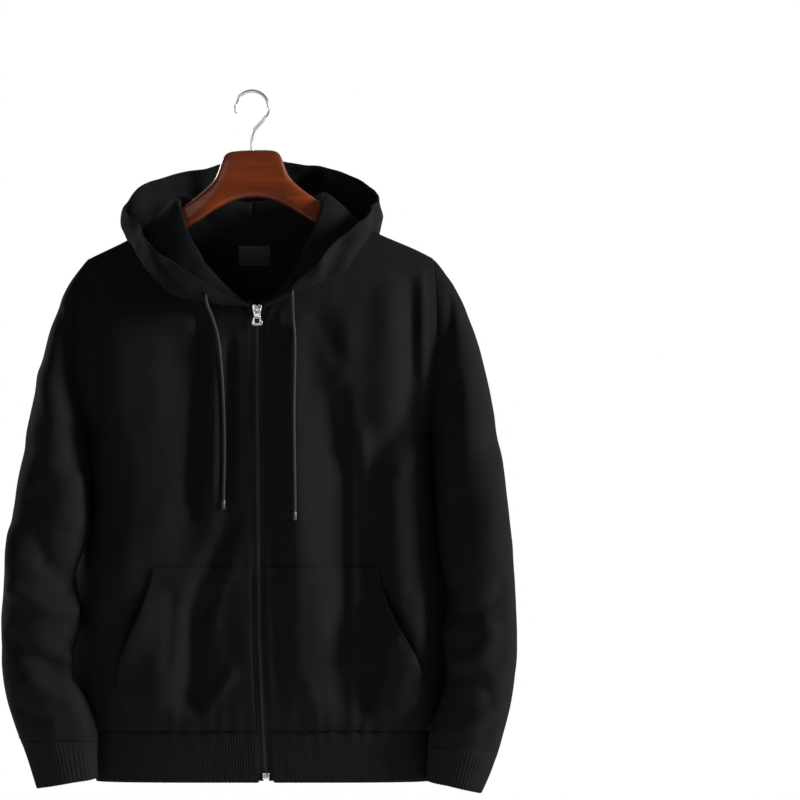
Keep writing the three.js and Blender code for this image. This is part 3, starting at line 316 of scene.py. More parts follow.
class Paint:
    def __init__(self, name, **constants):
        self.material = bpy.data.materials.new(name)
        self.material.use_nodes = True
        self.tree = self.material.node_tree
        self.shader = self.tree.nodes["Principled BSDF"]
        for socket, value in constants.items():
            self.shader.inputs[socket.replace("_", " ")].default_value = value

    def node(self, kind, settings=None, sockets=None, out=0):
        node = self.tree.nodes.new("ShaderNode" + kind)
        for key, value in (settings or {}).items():
            if key == "stops":
                for i, (place, colour) in enumerate(value):
                    stop = node.color_ramp.elements[i] if i < 2 else node.color_ramp.elements.new(place)
                    stop.position = place
                    stop.color = colour
            else:
                setattr(node, key, value)
        for key, value in (sockets or {}).items():
            if isinstance(value, Value):
                self.tree.links.new(value.socket, node.inputs[key])
            else:
                node.inputs[key].default_value = value
        return Value(self.tree, node.outputs[out])

    def feed(self, socket, value):
        self.tree.links.new(value.socket, self.shader.inputs[socket])

    def place(self):
        return self.node("TexCoord", out="Object")

    def noise(self, scale, detail=2, rough=0.5, at=None):
        sockets = {"Vector": at or self.place(), "Scale": scale, "Detail": detail, "Roughness": rough}
        return self.node("TexNoise", None, sockets)

    def scaled(self, size):
        return self.node("Mapping", None, {"Vector": self.place(), "Scale": size})

    def blend(self, share, a, b):
        return self.node("Mix", {"data_type": "RGBA"}, {"Factor": share, 6: a, 7: b}, out=2)

    def bump(self, height, strength, distance):
        sockets = {"Height": height, "Strength": strength, "Distance": distance}
        self.feed("Normal", self.node("Bump", None, sockets))


def fleecePaint():
    paint = Paint("fleece", Specular_IOR_Level=0.012, Sheen_Weight=0.002, Sheen_Roughness=0.5)
    patches = paint.noise(38, 3)
    nap = paint.noise(900, 3, 0.7)
    fluff = paint.noise(2600, 2, 0.6)
    shade = patches * 0.5 + nap * 0.35 + fluff * 0.15
    paint.feed("Base Color", paint.blend(shade, (0.0036, 0.0041, 0.0040, 1), (0.0072, 0.0083, 0.0080, 1)))
    paint.feed("Roughness", nap * 0.1 + 0.86)
    paint.bump(nap * 0.6 + fluff * 0.4, 0.35, 0.00035)
    return paint.material


def ribPaint():
    paint = Paint("rib", Specular_IOR_Level=0.012, Sheen_Weight=0.002, Sheen_Roughness=0.5)
    nap = paint.noise(1100, 3, 0.7)
    stitches = paint.noise(1, 2, 0.6, paint.scaled((500, 500, 1600)))
    paint.feed("Base Color", paint.blend(nap, (0.0042, 0.0046, 0.0045, 1), (0.0082, 0.0092, 0.009, 1)))
    paint.feed("Roughness", nap * 0.1 + 0.86)
    paint.bump(stitches * 0.6 + nap * 0.4, 0.4, 0.0004)
    return paint.material


def plainPaint(name, dark, light, rough, scale, relief, **constants):
    paint = Paint(name, **constants)
    grain = paint.noise(scale, 3, 0.6)
    paint.feed("Base Color", paint.blend(grain, (*dark, 1), (*light, 1)))
    paint.feed("Roughness", grain * 0.12 + rough)
    if relief:
        paint.bump(grain, 0.5, relief)
    return paint.material


def tapePaint():
    paint = Paint("tape", Specular_IOR_Level=0.04)
    sockets = {"Vector": paint.place(), "Scale": 700, "Distortion": 1.5}
    weave = paint.node("TexWave", {"bands_direction": "DIAGONAL"}, sockets, out="Fac")
    paint.feed("Base Color", paint.blend(weave, (0.004, 0.0043, 0.0044, 1), (0.0085, 0.009, 0.0092, 1)))
    paint.feed("Roughness", weave * 0.1 + 0.7)
    paint.bump(weave, 0.5, 0.0002)
    return paint.material


def woodPaint():
    paint = Paint("wood", Coat_Roughness=0.1, Coat_IOR=1.4, Specular_IOR_Level=0.08)
    paint.shader.inputs["Coat Weight"].default_value = 0.35
    fibre = paint.noise(1, 4, 0.6, paint.scaled((14, 90, 150)))
    rings = paint.noise(1, 2, 0.5, paint.scaled((5, 20, 42)))
    shade = fibre * 0.45 + rings * 0.55
    stops = [
        (0.28, (0.035, 0.005, 0.001, 1)),
        (0.62, (0.115, 0.019, 0.0022, 1)),
        (0.8, (0.19, 0.037, 0.005, 1)),
    ]
    paint.feed("Base Color", paint.node("ValToRGB", {"stops": stops}, {"Fac": shade}))
    paint.feed("Roughness", fibre * 0.15 + 0.32)
    paint.bump(fibre, 0.12, 0.0003)
    return paint.material


paints = {
    "fleece": fleecePaint(),
    "rib": ribPaint(),
    "tape": tapePaint(),
    "teeth": plainPaint(
        "teeth", (0.006, 0.0065, 0.007), (0.012, 0.0125, 0.013), 0.4, 600, 0, Specular_IOR_Level=0.25
    ),
    "metal": plainPaint("metal", (0.42, 0.42, 0.43), (0.62, 0.62, 0.63), 0.2, 500, 0.00005, Metallic=1),
    "cord": plainPaint(
        "cord", (0.006, 0.0066, 0.0065), (0.016, 0.017, 0.017), 0.7, 1500, 0.0001, Specular_IOR_Level=0.2
    ),
    "tip": plainPaint(
        "tip", (0.02, 0.02, 0.021), (0.035, 0.035, 0.036), 0.25, 300, 0, Specular_IOR_Level=0.5
    ),
    "thread": plainPaint(
        "thread", (0.0028, 0.0031, 0.0031), (0.0058, 0.0062, 0.0062), 0.7, 2500, 0, Specular_IOR_Level=0.03
    ),
    "label": plainPaint(
        "label", (0.011, 0.0124, 0.013), (0.018, 0.02, 0.021), 0.5, 1800, 0.0001, Specular_IOR_Level=0.2
    ),
    "wood": woodPaint(),
    "chrome": plainPaint("chrome", (0.6, 0.61, 0.62), (0.72, 0.73, 0.74), 0.1, 200, 0, Metallic=1),
}
print("materials made")


def finishPiece(piece, paint, stands=(), body="garment", flat=False):
    piece.data.materials.clear()
    piece.data.materials.append(paints[paint])
    if not flat:
        piece.data.shade_smooth()
    if stands:
        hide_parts(*stands)
    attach(piece, body)
    return piece


def copyOf(node):
    bm = bmesh.new()
    bm.from_mesh(nodes[node].data)
    bmesh.ops.remove_doubles(bm, verts=bm.verts[:], dist=0.00002)
    for layer in list(bm.loops.layers.uv.values()):
        bm.loops.layers.uv.remove(layer)
    return bm


def withModifiers(piece):
    depsgraph = bpy.context.evaluated_depsgraph_get()
    finished = bpy.data.meshes.new_from_object(piece.evaluated_get(depsgraph))
    piece.modifiers.clear()
    piece.data = finished
    leftovers = ("custom_normal", "crease_edge", "sharp_edge")
    for name in [a.name for a in finished.attributes if a.name in leftovers]:
        finished.attributes.remove(finished.attributes[name])
    return piece


# A CAD wall made round: its rims stay nearly sharp and its cells get no longer than longest.
def softCopy(node, name, levels=2, sharp=58, hardness=0.52, longest=4.5):
    bm = copyOf(node)
    bmesh.ops.join_triangles(
        bm, faces=bm.faces[:], angle_face_threshold=math.radians(45), angle_shape_threshold=math.radians(70)
    )
    crease = bm.edges.layers.float.get("crease_edge") or bm.edges.layers.float.new("crease_edge")
    for edge in bm.edges:
        if len(edge.link_faces) == 2 and edge.calc_face_angle(0) > math.radians(sharp):
            edge[crease] = hardness
    piece = newObject(name, bm)
    subdivide = piece.modifiers.new("round", "SUBSURF")
    subdivide.levels = levels
    subdivide.render_levels = levels
    withModifiers(piece)
    for limit in (2 * longest, longest):
        bm = bmesh.new()
        bm.from_mesh(piece.data)
        long = [e for e in bm.edges if e.calc_length() > limit / 1000]
        bmesh.ops.subdivide_edges(bm, edges=long, cuts=1, use_grid_fill=True)
        bm.to_mesh(piece.data)
        bm.free()
    return piece


def bevelEdges(bm, edges, offset, segments):
    size = offset / 1000
    bmesh.ops.bevel(bm, geom=edges, offset=size, segments=segments, profile=0.5, affect="EDGES", material=-1)


def roundCopy(node, name, offset, segments=2, sharp=25):
    bm = copyOf(node)
    bmesh.ops.dissolve_limit(bm, angle_limit=math.radians(1), verts=bm.verts[:], edges=bm.edges[:])
    edges = [e for e in bm.edges if len(e.link_faces) == 2 and e.calc_face_angle(0) > math.radians(sharp)]
    bevelEdges(bm, edges, offset, segments)
    piece = newObject(name, bm)
    piece.data.shade_smooth()
    return piece


def places(piece):
    flat = np.empty(len(piece.data.vertices) * 3, np.float32)
    piece.data.vertices.foreach_get("co", flat)
    return flat.reshape(-1, 3).astype(float) * 1000


def normals(piece):
    flat = np.empty(len(piece.data.vertices) * 3, np.float32)
    piece.data.vertex_normals.foreach_get("vector", flat)
    return flat.reshape(-1, 3).astype(float)


def move(piece, found):
    piece.data.vertices.foreach_set("co", (found / 1000).astype(np.float32).ravel())
    piece.data.update()


def treeOf(made):
    corners, faces = [], []
    for piece in made:
        start = len(corners)
        corners += [v.co.copy() for v in piece.data.vertices]
        faces += [[start + i for i in p.vertices] for p in piece.data.polygons]
    return BVHTree.FromPolygons(corners, faces)


def treeOfNodes(names):
    return treeOf([nodes[name] for name in names])


# 0 at the seams with the other pieces, 1 from reach millimetres on.
def awayFrom(found, others, reach):
    tree = treeOfNodes(others)
    limit = (reach + 2) / 1000
    away = []
    for p in found:
        distance = tree.find_nearest(Vector(p) / 1000, limit)[3]
        away.append(reach if distance is None else distance * 1000 - 1)
    return smooth(np.array(away) / reach)


# Draws a seam's rim onto the piece beside it, so that no light comes through.
def sewn(found, others):
    tree = treeOfNodes(others)
    for i, p in enumerate(found):
        near, _, _, distance = tree.find_nearest(Vector(p) / 1000, 0.0011)
        if near is not None and distance > 0:
            found[i] = p + (np.array(near) * 1000 - p) * (1 + 0.3 / (distance * 1000))
    return found


def outwards(piece, radial):
    normal = normals(piece)
    return normal * np.sign(np.sum(normal * radial, axis=1) + 1e-9)[:, None]


def levelOut(found, away):
    return np.stack([np.zeros(len(found)), np.full(len(found), away), np.zeros(len(found))], axis=1)


# Creases reach their full height this far from a seam.
cloth = {"panels": {"reach": 20}, "sleeves": {"reach": 24}, "hood": {"reach": 18}}


# The body's sides go on a little behind the sleeves, whose inner sides lean on them.
def sideways(found):
    x, z = found[:, 0], found[:, 2]
    height = smooth((-408 - z) / 14) * smooth((z + 766) / 9)
    return smooth((np.abs(x - 12) - 168) / 26) * np.sign(x - 12) * 4.5 * height


def leaning(found, middle, side):
    sign = 1 if side == "left" else -1
    inward = (middle - found[:, 0]) * sign
    most = np.interp(found[:, 2], [-790, -764, -745, -700], [5, 9.5, 8, 3])
    return -sign * most * smooth((inward - 12) / 18) * smooth((-412 - found[:, 2]) / 16)


# The pocket's outer edge; its opening gapes between the upper two heights.
pockets = {
    "z": [-764, -749, -728, -705, -591, -568],
    "right": [-146, -149, -156, -161, -120, -117],
    "left": [184, 188, 196, 202, 155, 153],
    "top": -591,
    "end": -705,
    "lift": 9,
    "sunk": 9,
}


def opening(side, found, outside):
    sign = 1 if side == "left" else -1
    edge = np.interp(found[:, 2], pockets["z"], pockets[side])
    aside = (found[:, 0] - edge) * sign
    along = (pockets["top"] - found[:, 2]) / (pockets["top"] - pockets["end"])
    gape = np.sin(math.pi * np.clip(along, 0, 1)) ** 0.8
    if outside:
        return gape * np.exp(-(aside / 7) ** 2)
    return gape * smooth(1 + aside / 34)


def frontPanel(side):
    piece = softCopy("front_" + side, "front." + side)
    found = places(piece)
    others = ["sleeve_" + side, "back", "hood_" + side]
    sewn(found, ["hem_band"])
    fade = awayFrom(found, others, cloth["panels"]["reach"])
    sewn(found, others)
    height = frontHeight(found[:, 0], found[:, 2]) * fade - pockets["sunk"] * opening(side, found, 1)
    shift = levelOut(found, -1) * height[:, None]
    shift[:, 0] = sideways(found)
    move(piece, found + shift)
    return finishPiece(piece, "fleece", ["front_" + side])


def pocketPiece(side):
    piece = softCopy("pocket_" + side, "pocket." + side)
    found = places(piece)
    fade = awayFrom(found, ["sleeve_" + side, "back"], cloth["panels"]["reach"])
    height = frontHeight(found[:, 0], found[:, 2]) * fade + pockets["lift"] * opening(side, found, 0)
    shift = levelOut(found, -1) * height[:, None]
    shift[:, 0] = sideways(found)
    move(piece, found + shift)
    return finishPiece(piece, "fleece", ["pocket_" + side])


def backPanel():
    piece = softCopy("back", "back.panel")
    found = places(piece)
    others = ["sleeve_left", "sleeve_right", "front_left", "front_right", "hood_left", "hood_right"]
    fade = awayFrom(found, others, cloth["panels"]["reach"])
    sewn(found, others + ["hem_band"])
    shift = levelOut(found, 1) * (backHeight(found[:, 0], found[:, 2]) * fade)[:, None]
    shift[:, 0] = sideways(found)
    move(piece, found + shift)
    return finishPiece(piece, "fleece", ["back"])


# Creases of the sleeves, seen from the front and from behind.
sleeves = {
    "right": {
        "axis": [
            (-308, -196), (-331, -208), (-367, -219), (-415, -226), (-463, -233), (-517, -241.5),
            (-558, -252.5), (-603, -251), (-642, -252.5), (-684, -259.5), (-730, -247),
            (-775, -236),
        ],
        "front": [
            (-232, -255, -205, -330, 4, -5, 12, 0.2),
            (-262, -330, -228, -400, 5, 3.5, 13, 0),
            (-222, -300, -208, -400, 2, 3, 9, 0),
            (-276, -420, -240, -500, 4, -3, 15, 0),
            (-216, -455, -222, -520, 0, 5, 15, 0),
            (-262, -480, -245, -560, 0, -5, 14, 0.2),
            (-290, -520, -282, -600, 0, 4, 11, 0),
            (-284, -590, -210, -622, -6, 6, 11, 0.2),
            (-250, -560, -212, -600, 4, -5, 12, 0),
            (-288, -650, -225, -690, -4, -6, 13, 0.2),
            (-228, -672, -208, -690, 0, 4, 9, 0),
            (-270, -700, -215, -735, 4, 4, 11, 0),
            (-282, -735, -240, -755, 0, -3, 9, 0),
        ],
        "back": [
            (-222, -290, -262, -380, 5, -4, 13, 0),
            (-268, -400, -222, -480, 6, 4, 13, 0),
            (-214, -500, -272, -560, 6, -5, 12, 0),
            (-284, -575, -222, -620, -6, 6, 12, 0),
            (-226, -640, -284, -680, 5, -5, 12, 0),
            (-276, -710, -214, -742, 0, 4, 10, 0),
        ],
    },
    "left": {
        "axis": [
            (-307, 215.8), (-331, 232), (-367, 245.5), (-415, 254), (-463, 261.5), (-517, 268),
            (-558, 273), (-603, 277.5), (-642, 272.7), (-684, 277.5), (-730, 273.5), (-784, 261),
        ],
        "front": [
            (236, -240, 226, -330, 3, -4, 9, 0.2),
            (262, -280, 284, -400, 4, 3, 18, 0),
            (240, -340, 242, -470, 0, -3.5, 10, 0),
            (288, -430, 300, -560, 0, 3, 20, 0),
            (246, -480, 244, -560, 0, -4, 12, 0),
            (306, -590, 250, -628, 6, -5, 14, 0),
            (240, -590, 236, -640, 0, -3, 9, 0),
            (292, -640, 250, -690, 6, 5, 14, 0),
            (308, -600, 306, -690, 0, 3, 9, 0),
            (250, -690, 290, -730, 4, -4, 12, 0),
            (298, -726, 244, -766, 4, 3, 10, 0),
        ],
        "back": [
            (240, -300, 282, -390, -5, -4, 14, 0),
            (290, -420, 246, -500, -6, 4, 13, 0),
            (250, -520, 300, -570, -5, -5, 13, 0),
            (306, -590, 250, -635, 6, 6, 12, 0),
            (248, -660, 304, -700, -5, -5, 12, 0),
            (296, -725, 244, -758, 0, 4, 10, 0),
        ],
    },
}


# How far the sleeve and its cuff hang forward.
def forward(z):
    heights = [-835, -784, -735, -687, -640, -600, -560, -510, -460, -400]
    return np.interp(z, heights, [10, 14, 24, 30, 31, 30, 28, 20, 10, 0])


def sleevePiece(side):
    piece = softCopy("sleeve_" + side, "sleeve." + side)
    found = places(piece)
    facts = sleeves[side]
    axis = np.array(sorted(facts["axis"]))
    middle = np.interp(found[:, 2], axis[:, 0], axis[:, 1])
    level = found[:, 1] + forward(found[:, 2])
    radial = np.stack([found[:, 0] - middle, level * 0.8, np.zeros(len(found))], axis=1)
    toFront = smooth(0.5 - level / 24)
    x, z = found[:, 0], found[:, 2]
    height = 1.35 * (ridges(facts["front"], x, z) * toFront + ridges(facts["back"], x, z) * (1 - toFront))
    height += 1.5 * softNoise(found, (42, 42, 60), 50) + 0.7 * softNoise(found, (20, 20, 26), 60)
    turn = np.arctan2(level, found[:, 0] - middle) * 36
    seamZ = -775 + (0 if side == "right" else -8)
    height += 1.2 * gathers(turn, z, seamZ, 11)
    others = ["front_" + side, "back", "cuff_" + side]
    fade = awayFrom(found, others, cloth["sleeves"]["reach"])
    out = outwards(piece, radial)
    calm = mix(0.45, 1, smooth(np.abs(out[:, 1]) * 1.6))
    shift = out * (height * fade * calm)[:, None]
    shift[:, 0] += leaning(found, middle, side)
    move(piece, sewn(found, others) + shift)
    return finishPiece(piece, "fleece", ["sleeve_" + side])


# Folds of the hood: two ends, height, half width and the way it goes.
hood = {
    "strength": 1.5,
    "still": [(-53, -82.8, -245), (50, -81.1, -239.5)],  # the cords come out here
    "folds": [
        ((-146, -34, -150), (-104, -60, -222), -5, 13, (-0.6, -0.8, 0)),
        ((-118, -68, -180), (-84, -72, -232), 4, 11, (-0.5, -0.9, 0)),
        ((-100, -80, -198), (-76, -66, -224), -3, 8, (-0.5, -0.9, 0)),
        ((-148, 10, -140), (-142, -10, -175), 4, 12, (-1, 0, 0)),
        ((-88, -14, -140), (-64, -48, -196), 3, 9, (0.6, 0.8, 0.2)),
        ((-84, 14, -130), (-70, -34, -168), -3, 9, (0.6, 0.6, 0.2)),
        ((-120, 66, -150), (-96, 70, -215), 5, 16, (-0.5, 0.9, 0)),
        ((-60, 92, -120), (-40, 84, -240), -5, 16, (-0.2, 1, 0)),
        ((-20, 98, -110), (-26, 90, -200), 4, 14, (0, 1, 0)),
        ((132, -50, -160), (98, -66, -232), 4, 12, (0.6, -0.8, 0)),
        ((112, -74, -180), (88, -78, -236), -4, 10, (0.5, -0.9, 0)),
        ((148, -10, -146), (128, -44, -212), -4, 12, (0.8, -0.5, 0)),
        ((84, -82, -202), (66, -74, -240), 2.5, 8, (0.4, -0.9, 0)),
        ((88, -12, -136), (68, -44, -190), 3, 9, (-0.6, 0.8, 0.2)),
        ((80, 24, -126), (84, -20, -150), -3, 8, (-0.6, 0.6, 0.2)),
        ((122, 62, -140), (90, 76, -220), -5, 16, (0.5, 0.9, 0)),
        ((64, 92, -110), (52, 84, -230), 5, 15, (0.2, 1, 0)),
        ((24, 98, -100), (30, 88, -220), -4, 14, (0, 1, 0)),
        ((-60, 44, -128), (60, 44, -150), -3, 12, (0, 1, 0)),
        ((-146, 12, -136), (-118, 30, -185), 4, 8, (0.6, -0.8, 0)),
        ((-130, 42, -122), (-102, 46, -180), -4, 8, (0.5, -0.9, 0)),
        ((-108, 72, -105), (-86, 66, -170), 4, 9, (0.4, -0.9, 0)),
        ((-78, 84, -98), (-62, 74, -180), -3, 9, (0.3, -0.9, 0)),
        ((144, 14, -136), (116, 34, -190), 4, 8, (-0.6, -0.8, 0)),
        ((118, 56, -116), (92, 56, -180), -4, 9, (-0.5, -0.9, 0)),
        ((84, 84, -100), (66, 72, -176), 3, 9, (-0.3, -0.9, 0)),
    ],
}


def hoodShift(found):
    total = np.zeros_like(found)
    for start, end, size, width, way in hood["folds"]:
        start, end, height = np.array(start), np.array(end), size * hood["strength"]
        run = end - start
        along = np.clip((found - start) @ run / (run @ run), 0, 1)
        away = np.linalg.norm(found - start - along[:, None] * run, axis=1)
        total += (height * np.exp(-((away / width) ** 2)))[:, None] * np.array(way) / np.linalg.norm(way)
    drift = []
    for seed in (90, 100, 110):
        large = softNoise(found, (44, 44, 44), seed) * 4
        drift.append(large + softNoise(found, (21, 21, 21), seed + 3) * 1.6)
    total += np.stack(drift, axis=1)
    still = smooth((np.abs(found[:, 0] - 7.5) - 14) / 22) + (found[:, 1] > 0)
    for spot in hood["still"]:
        still = still * (1 - np.exp(-((np.linalg.norm(found - np.array(spot), axis=1) / 17) ** 4)))
    return total * np.clip(still, 0, 1)[:, None]


def hoodPiece(side):
    piece = softCopy("hood_" + side, "hood." + side, sharp=68, longest=4)
    found = places(piece)
    others = ["front_" + side, "back"]
    fade = awayFrom(found, others + ["hanger_wood"], cloth["hood"]["reach"])
    sewn(found, others + ["hood_right" if side == "left" else "hood_left"])
    move(piece, found + hoodShift(found) * fade[:, None])
    return finishPiece(piece, "fleece", ["hood_" + side])


# Rib: cells are cut finer round the band, and the wales stand out from it.
ribs = {"pitch": 3.3, "height": 0.38, "cuts": 3, "cuffWales": 64}
cuffs = {
    "right": {"outer": (-278, -773), "inner": (-193.5, -777), "middle": [-224, -226, -236]},
    "left": {"outer": (296, -789), "inner": (226, -779), "middle": [246, 248, 261]},
}


def cutAcross(piece, axis, cuts):
    bm = bmesh.new()
    bm.from_mesh(piece.data)
    around = []
    for edge in bm.edges:
        slant = abs((edge.verts[0].co - edge.verts[1].co).normalized().dot(axis))
        if slant < 0.4 and edge.calc_length() > 0.0012:
            around.append(edge)
    bmesh.ops.subdivide_edges(bm, edges=around, cuts=cuts, use_grid_fill=True)
    bm.to_mesh(piece.data)
    bm.free()


band = {"middle": 12.8, "half": 200.8, "front": -36, "back": 32}


# The way round the hem band to each place, so that the wales keep their pitch.
def hemArc(found):
    share = np.linspace(-1, 1, 1500)
    across = band["half"] * np.sin(share * math.pi / 2)
    deep = np.sqrt(1 - np.abs(across / band["half"]) ** 4)
    halves = [np.stack([-across, band["front"] * deep], 1), np.stack([across, band["back"] * deep], 1)]
    loop = np.concatenate(halves)
    length = np.concatenate([[0], np.cumsum(np.hypot(*np.diff(loop, axis=0).T))])
    turn = np.unwrap(np.arctan2(loop[:, 1] * 6, loop[:, 0]))
    at = np.arctan2(found[:, 1] * 6, found[:, 0] - band["middle"])
    at = np.where(at > turn.max(), at - 2 * math.pi, at)
    at = np.where(at < turn.min(), at + 2 * math.pi, at)
    order = np.argsort(turn)
    return np.interp(at, turn[order], length[order])


def hemPiece():
    piece = softCopy("hem_band", "hem.rib", longest=9)
    cutAcross(piece, Vector((0, 0, 1)), ribs["cuts"])
    found = places(piece)
    x, z = found[:, 0], found[:, 2]
    radial = np.stack([(x - band["middle"]) / 40, np.sign(found[:, 1]) * 30, np.zeros(len(found))], axis=1)
    out = outwards(piece, radial)
    wale = np.cos(2 * math.pi * hemArc(found) / ribs["pitch"]) * ribs["height"]
    toSide = smooth(np.minimum(213 - x, x + 188) / 24)
    lift = np.where(found[:, 1] < 0, -frontHeight(x, z), backHeight(x, z)) * toSide
    ends = smooth((np.abs(x - zipX(z)) - zipHalfGap) / 3 + (found[:, 1] > 0))
    found = sewn(found, ["front_left", "front_right", "back"]) + out * (wale * ends)[:, None]
    found[:, 1] += lift
    move(piece, found)
    return finishPiece(piece, "rib", ["hem_band"])


def cuffPiece(side):
    piece = softCopy("cuff_" + side, "cuff.rib." + side, longest=9)
    outer = Vector((cuffs[side]["outer"][0], 0, cuffs[side]["outer"][1]))
    inner = Vector((cuffs[side]["inner"][0], 0, cuffs[side]["inner"][1]))
    across = (outer - inner).normalized()
    axis = Vector((across.z, 0, -across.x))
    cutAcross(piece, axis, ribs["cuts"])
    found = places(piece)
    tree = np.array(axis)
    centreX = np.interp(found[:, 2], [-835, -830, -780], cuffs[side]["middle"])
    level = found - np.stack([centreX, -forward(found[:, 2]), found[:, 2]], axis=1)
    turn = np.arctan2(level[:, 1], level @ np.array(across))
    radial = np.stack([level[:, 0], level[:, 1], np.zeros(len(found))], axis=1)
    radial -= (radial @ tree)[:, None] * tree
    wale = np.cos(turn * ribs["cuffWales"]) * ribs["height"]
    wave = 0.9 * softNoise(found, (26, 26, 40), 80)
    fade = awayFrom(found, ["sleeve_" + side], 12)
    shift = outwards(piece, radial) * (wale * mix(0.5, 1, fade) + wave * fade)[:, None]
    shift[:, 0] += leaning(found, centreX, side)
    move(piece, sewn(found, ["sleeve_" + side]) + shift)
    return finishPiece(piece, "rib", ["cuff_" + side])


pieces = {}
for side in ("left", "right"):
    pieces["front." + side] = frontPanel(side)
    pieces["pocket." + side] = pocketPiece(side)
    pieces["sleeve." + side] = sleevePiece(side)
    pieces["hood." + side] = hoodPiece(side)
    pieces["cuff." + side] = cuffPiece(side)
    print(side, "cloth made")
pieces["back"] = backPanel()
pieces["hem"] = hemPiece()
print("back and hem made")


# Zip
teeth = {"pitch": 1.5, "top": -267.5, "end": -813, "size": (3.3, 2.0, 1.0), "inner": -0.6}


def scatter(name, shape, spots):
    bm = bmesh.new()
    for spot in spots:
        one = shape.copy()
        one.transform(spot)
        bm.from_mesh(one)
        bpy.data.meshes.remove(one)
    return newObject(name, bm)


def toothShape():
    bm = bmesh.new()
    bmesh.ops.create_cube(bm, size=1)
    wide, deep, high = teeth["size"]
    bmesh.ops.scale(bm, vec=(wide / 1000, deep / 1000, high / 1000), verts=bm.verts)
    bmesh.ops.translate(bm, vec=((teeth["inner"] + wide / 2) / 1000, 0, 0), verts=bm.verts)
    bevelEdges(bm, bm.edges[:], 0.25, 1)
    mesh = bpy.data.meshes.new("tooth")
    bm.to_mesh(mesh)
    bm.free()
    return mesh


def zipTeeth():
    tree = treeOfNodes(["zip_chain"])
    spots = []
    z = teeth["top"]
    turn = 1
    while z > teeth["end"]:
        x = float(zipX(z))
        hit = tree.ray_cast(Vector((x / 1000, -0.2, z / 1000)), Vector((0, 1, 0)))[0]
        if hit:
            place = Matrix.Translation(Vector((x / 1000, hit.y + 0.0011, z / 1000)))
            spots.append(place @ Matrix.Rotation(0 if turn > 0 else math.pi, 4, "Y"))
        z -= teeth["pitch"] / 2
        turn = -turn
    piece = scatter("zip.teeth", toothShape(), spots)
    return finishPiece(piece, "teeth", ["zip_chain"], flat=True)


zipTeeth()
finishPiece(roundCopy("zip_slider", "zip.slider", 0.35, 3), "metal", ["zip_slider"])
finishPiece(roundCopy("zip_pull", "zip.pull", 0.32, 2), "metal", ["zip_pull"], body="pull_tab")
finishPiece(roundCopy("zip_stop", "zip.stop", 0.6, 3), "metal", ["zip_stop"])
for side in ("left", "right"):
    tape = nodes["zip_tape_" + side]
    tape.data.materials.clear()
    tape.data.materials.append(paints["tape"])
print("zip made")


# Hanger
hanger = {"stemFoot": -71, "radius": 20, "wire": 2}


def woodPiece():
    piece = softCopy("hanger_wood", "hanger.wood", levels=2, sharp=80, longest=9)
    return finishPiece(piece, "wood", ["hanger_wood"])


def hookPiece():
    route = [(0, 0, hanger["stemFoot"]), (0, 0, -56), (1.5, 0, -47), (8, 0, -39)]
    for degrees in range(-45, 201, 35):
        angle = math.radians(degrees)
        route.append((hanger["radius"] * math.cos(angle), 0, -18 + hanger["radius"] * math.sin(angle)))
    path = rounded(route, 1.2)
    piece = sweep("hanger.hook", path, hanger["wire"], 20)
    return finishPiece(piece, "chrome", ["hanger_hook"])


woodPiece()
hookPiece()
finishPiece(roundCopy("neck_label", "neck.label", 0.2, 2), "label", ["neck_label"])
print("hanger made")


# Stitching: rounded threads half sunk into the cloth, in rows found by rays.
stitch = {"length": 2.7, "step": 3.7, "wide": 0.32, "high": 0.24}
sides = {"left": 1, "right": -1}
sideEdges = {
    "z": [-417, -400, -370, -330, -290, -240, -200],
    "right": [-194.5, -198.5, -205.5, -212.5, -214, -209, -197.3],
    "left": [214, 215.5, 218.5, 221, 221.5, 220.5, 217],
}


def threadShape():
    bm = bmesh.new()
    bmesh.ops.create_uvsphere(bm, u_segments=6, v_segments=5, radius=1)
    bmesh.ops.rotate(bm, cent=(0, 0, 0), matrix=Matrix.Rotation(math.pi / 2, 3, "Y"), verts=bm.verts)
    size = (stitch["length"] / 2000, stitch["wide"] / 1000, stitch["high"] / 1000)
    bmesh.ops.scale(bm, vec=size, verts=bm.verts)
    bmesh.ops.recalc_face_normals(bm, faces=bm.faces)
    mesh = bpy.data.meshes.new("thread")
    bm.to_mesh(mesh)
    bm.free()
    return mesh


# Places a stitch apart along a line of (x, z) in the front or back view.
def levelRow(line, way):
    points = [Vector((x, 0, z)) for x, z in line]
    rays = []
    for a, b in zip(points, points[1:]):
        count = max(1, round((b - a).length / stitch["step"]))
        for i in range(count):
            spot = a.lerp(b, (i + 0.5) / count)
            rays.append((Vector((spot.x, -300 * way, spot.z)), Vector((0, way, 0))))
    return rays


def sewRows(name, tree, rows):
    spots = []
    for rays in rows:
        hits = [tree.ray_cast(origin / 1000, way, 0.4)[:2] for origin, way in rays]
        for i, (place, normal) in enumerate(hits):
            after = hits[min(i + 1, len(hits) - 1)][0]
            before = hits[max(i - 1, 0)][0]
            if place is None or after is None or before is None or (after - before).length > 0.012:
                continue
            normal = normal if normal.dot(rays[i][1]) < 0 else -normal
            ahead = (after - before).normalized()
            ahead = (ahead - normal * ahead.dot(normal)).normalized()
            turned = Matrix((ahead, normal.cross(ahead), normal)).transposed().to_4x4()
            spots.append(Matrix.Translation(place) @ turned)
    return finishPiece(scatter("stitches." + name, threadShape(), spots), "thread", flat=True)


def armholeLine(side):
    line = []
    for z in range(-222, -408, -15):
        line.append((float(np.interp(z, sideEdges["z"], sideEdges[side])) - sides[side] * 7, z))
    return line


def frontRows(side):
    sign = sides[side]
    besideZip = [(float(zipX(z)) + sign * 14.5, z) for z in range(-264, -762, -20)]
    aboveHem = [(sign * x + 12, -757) for x in range(18, 192, 8)]
    return [levelRow(besideZip, 1), levelRow(armholeLine(side), 1), levelRow(aboveHem, 1)]


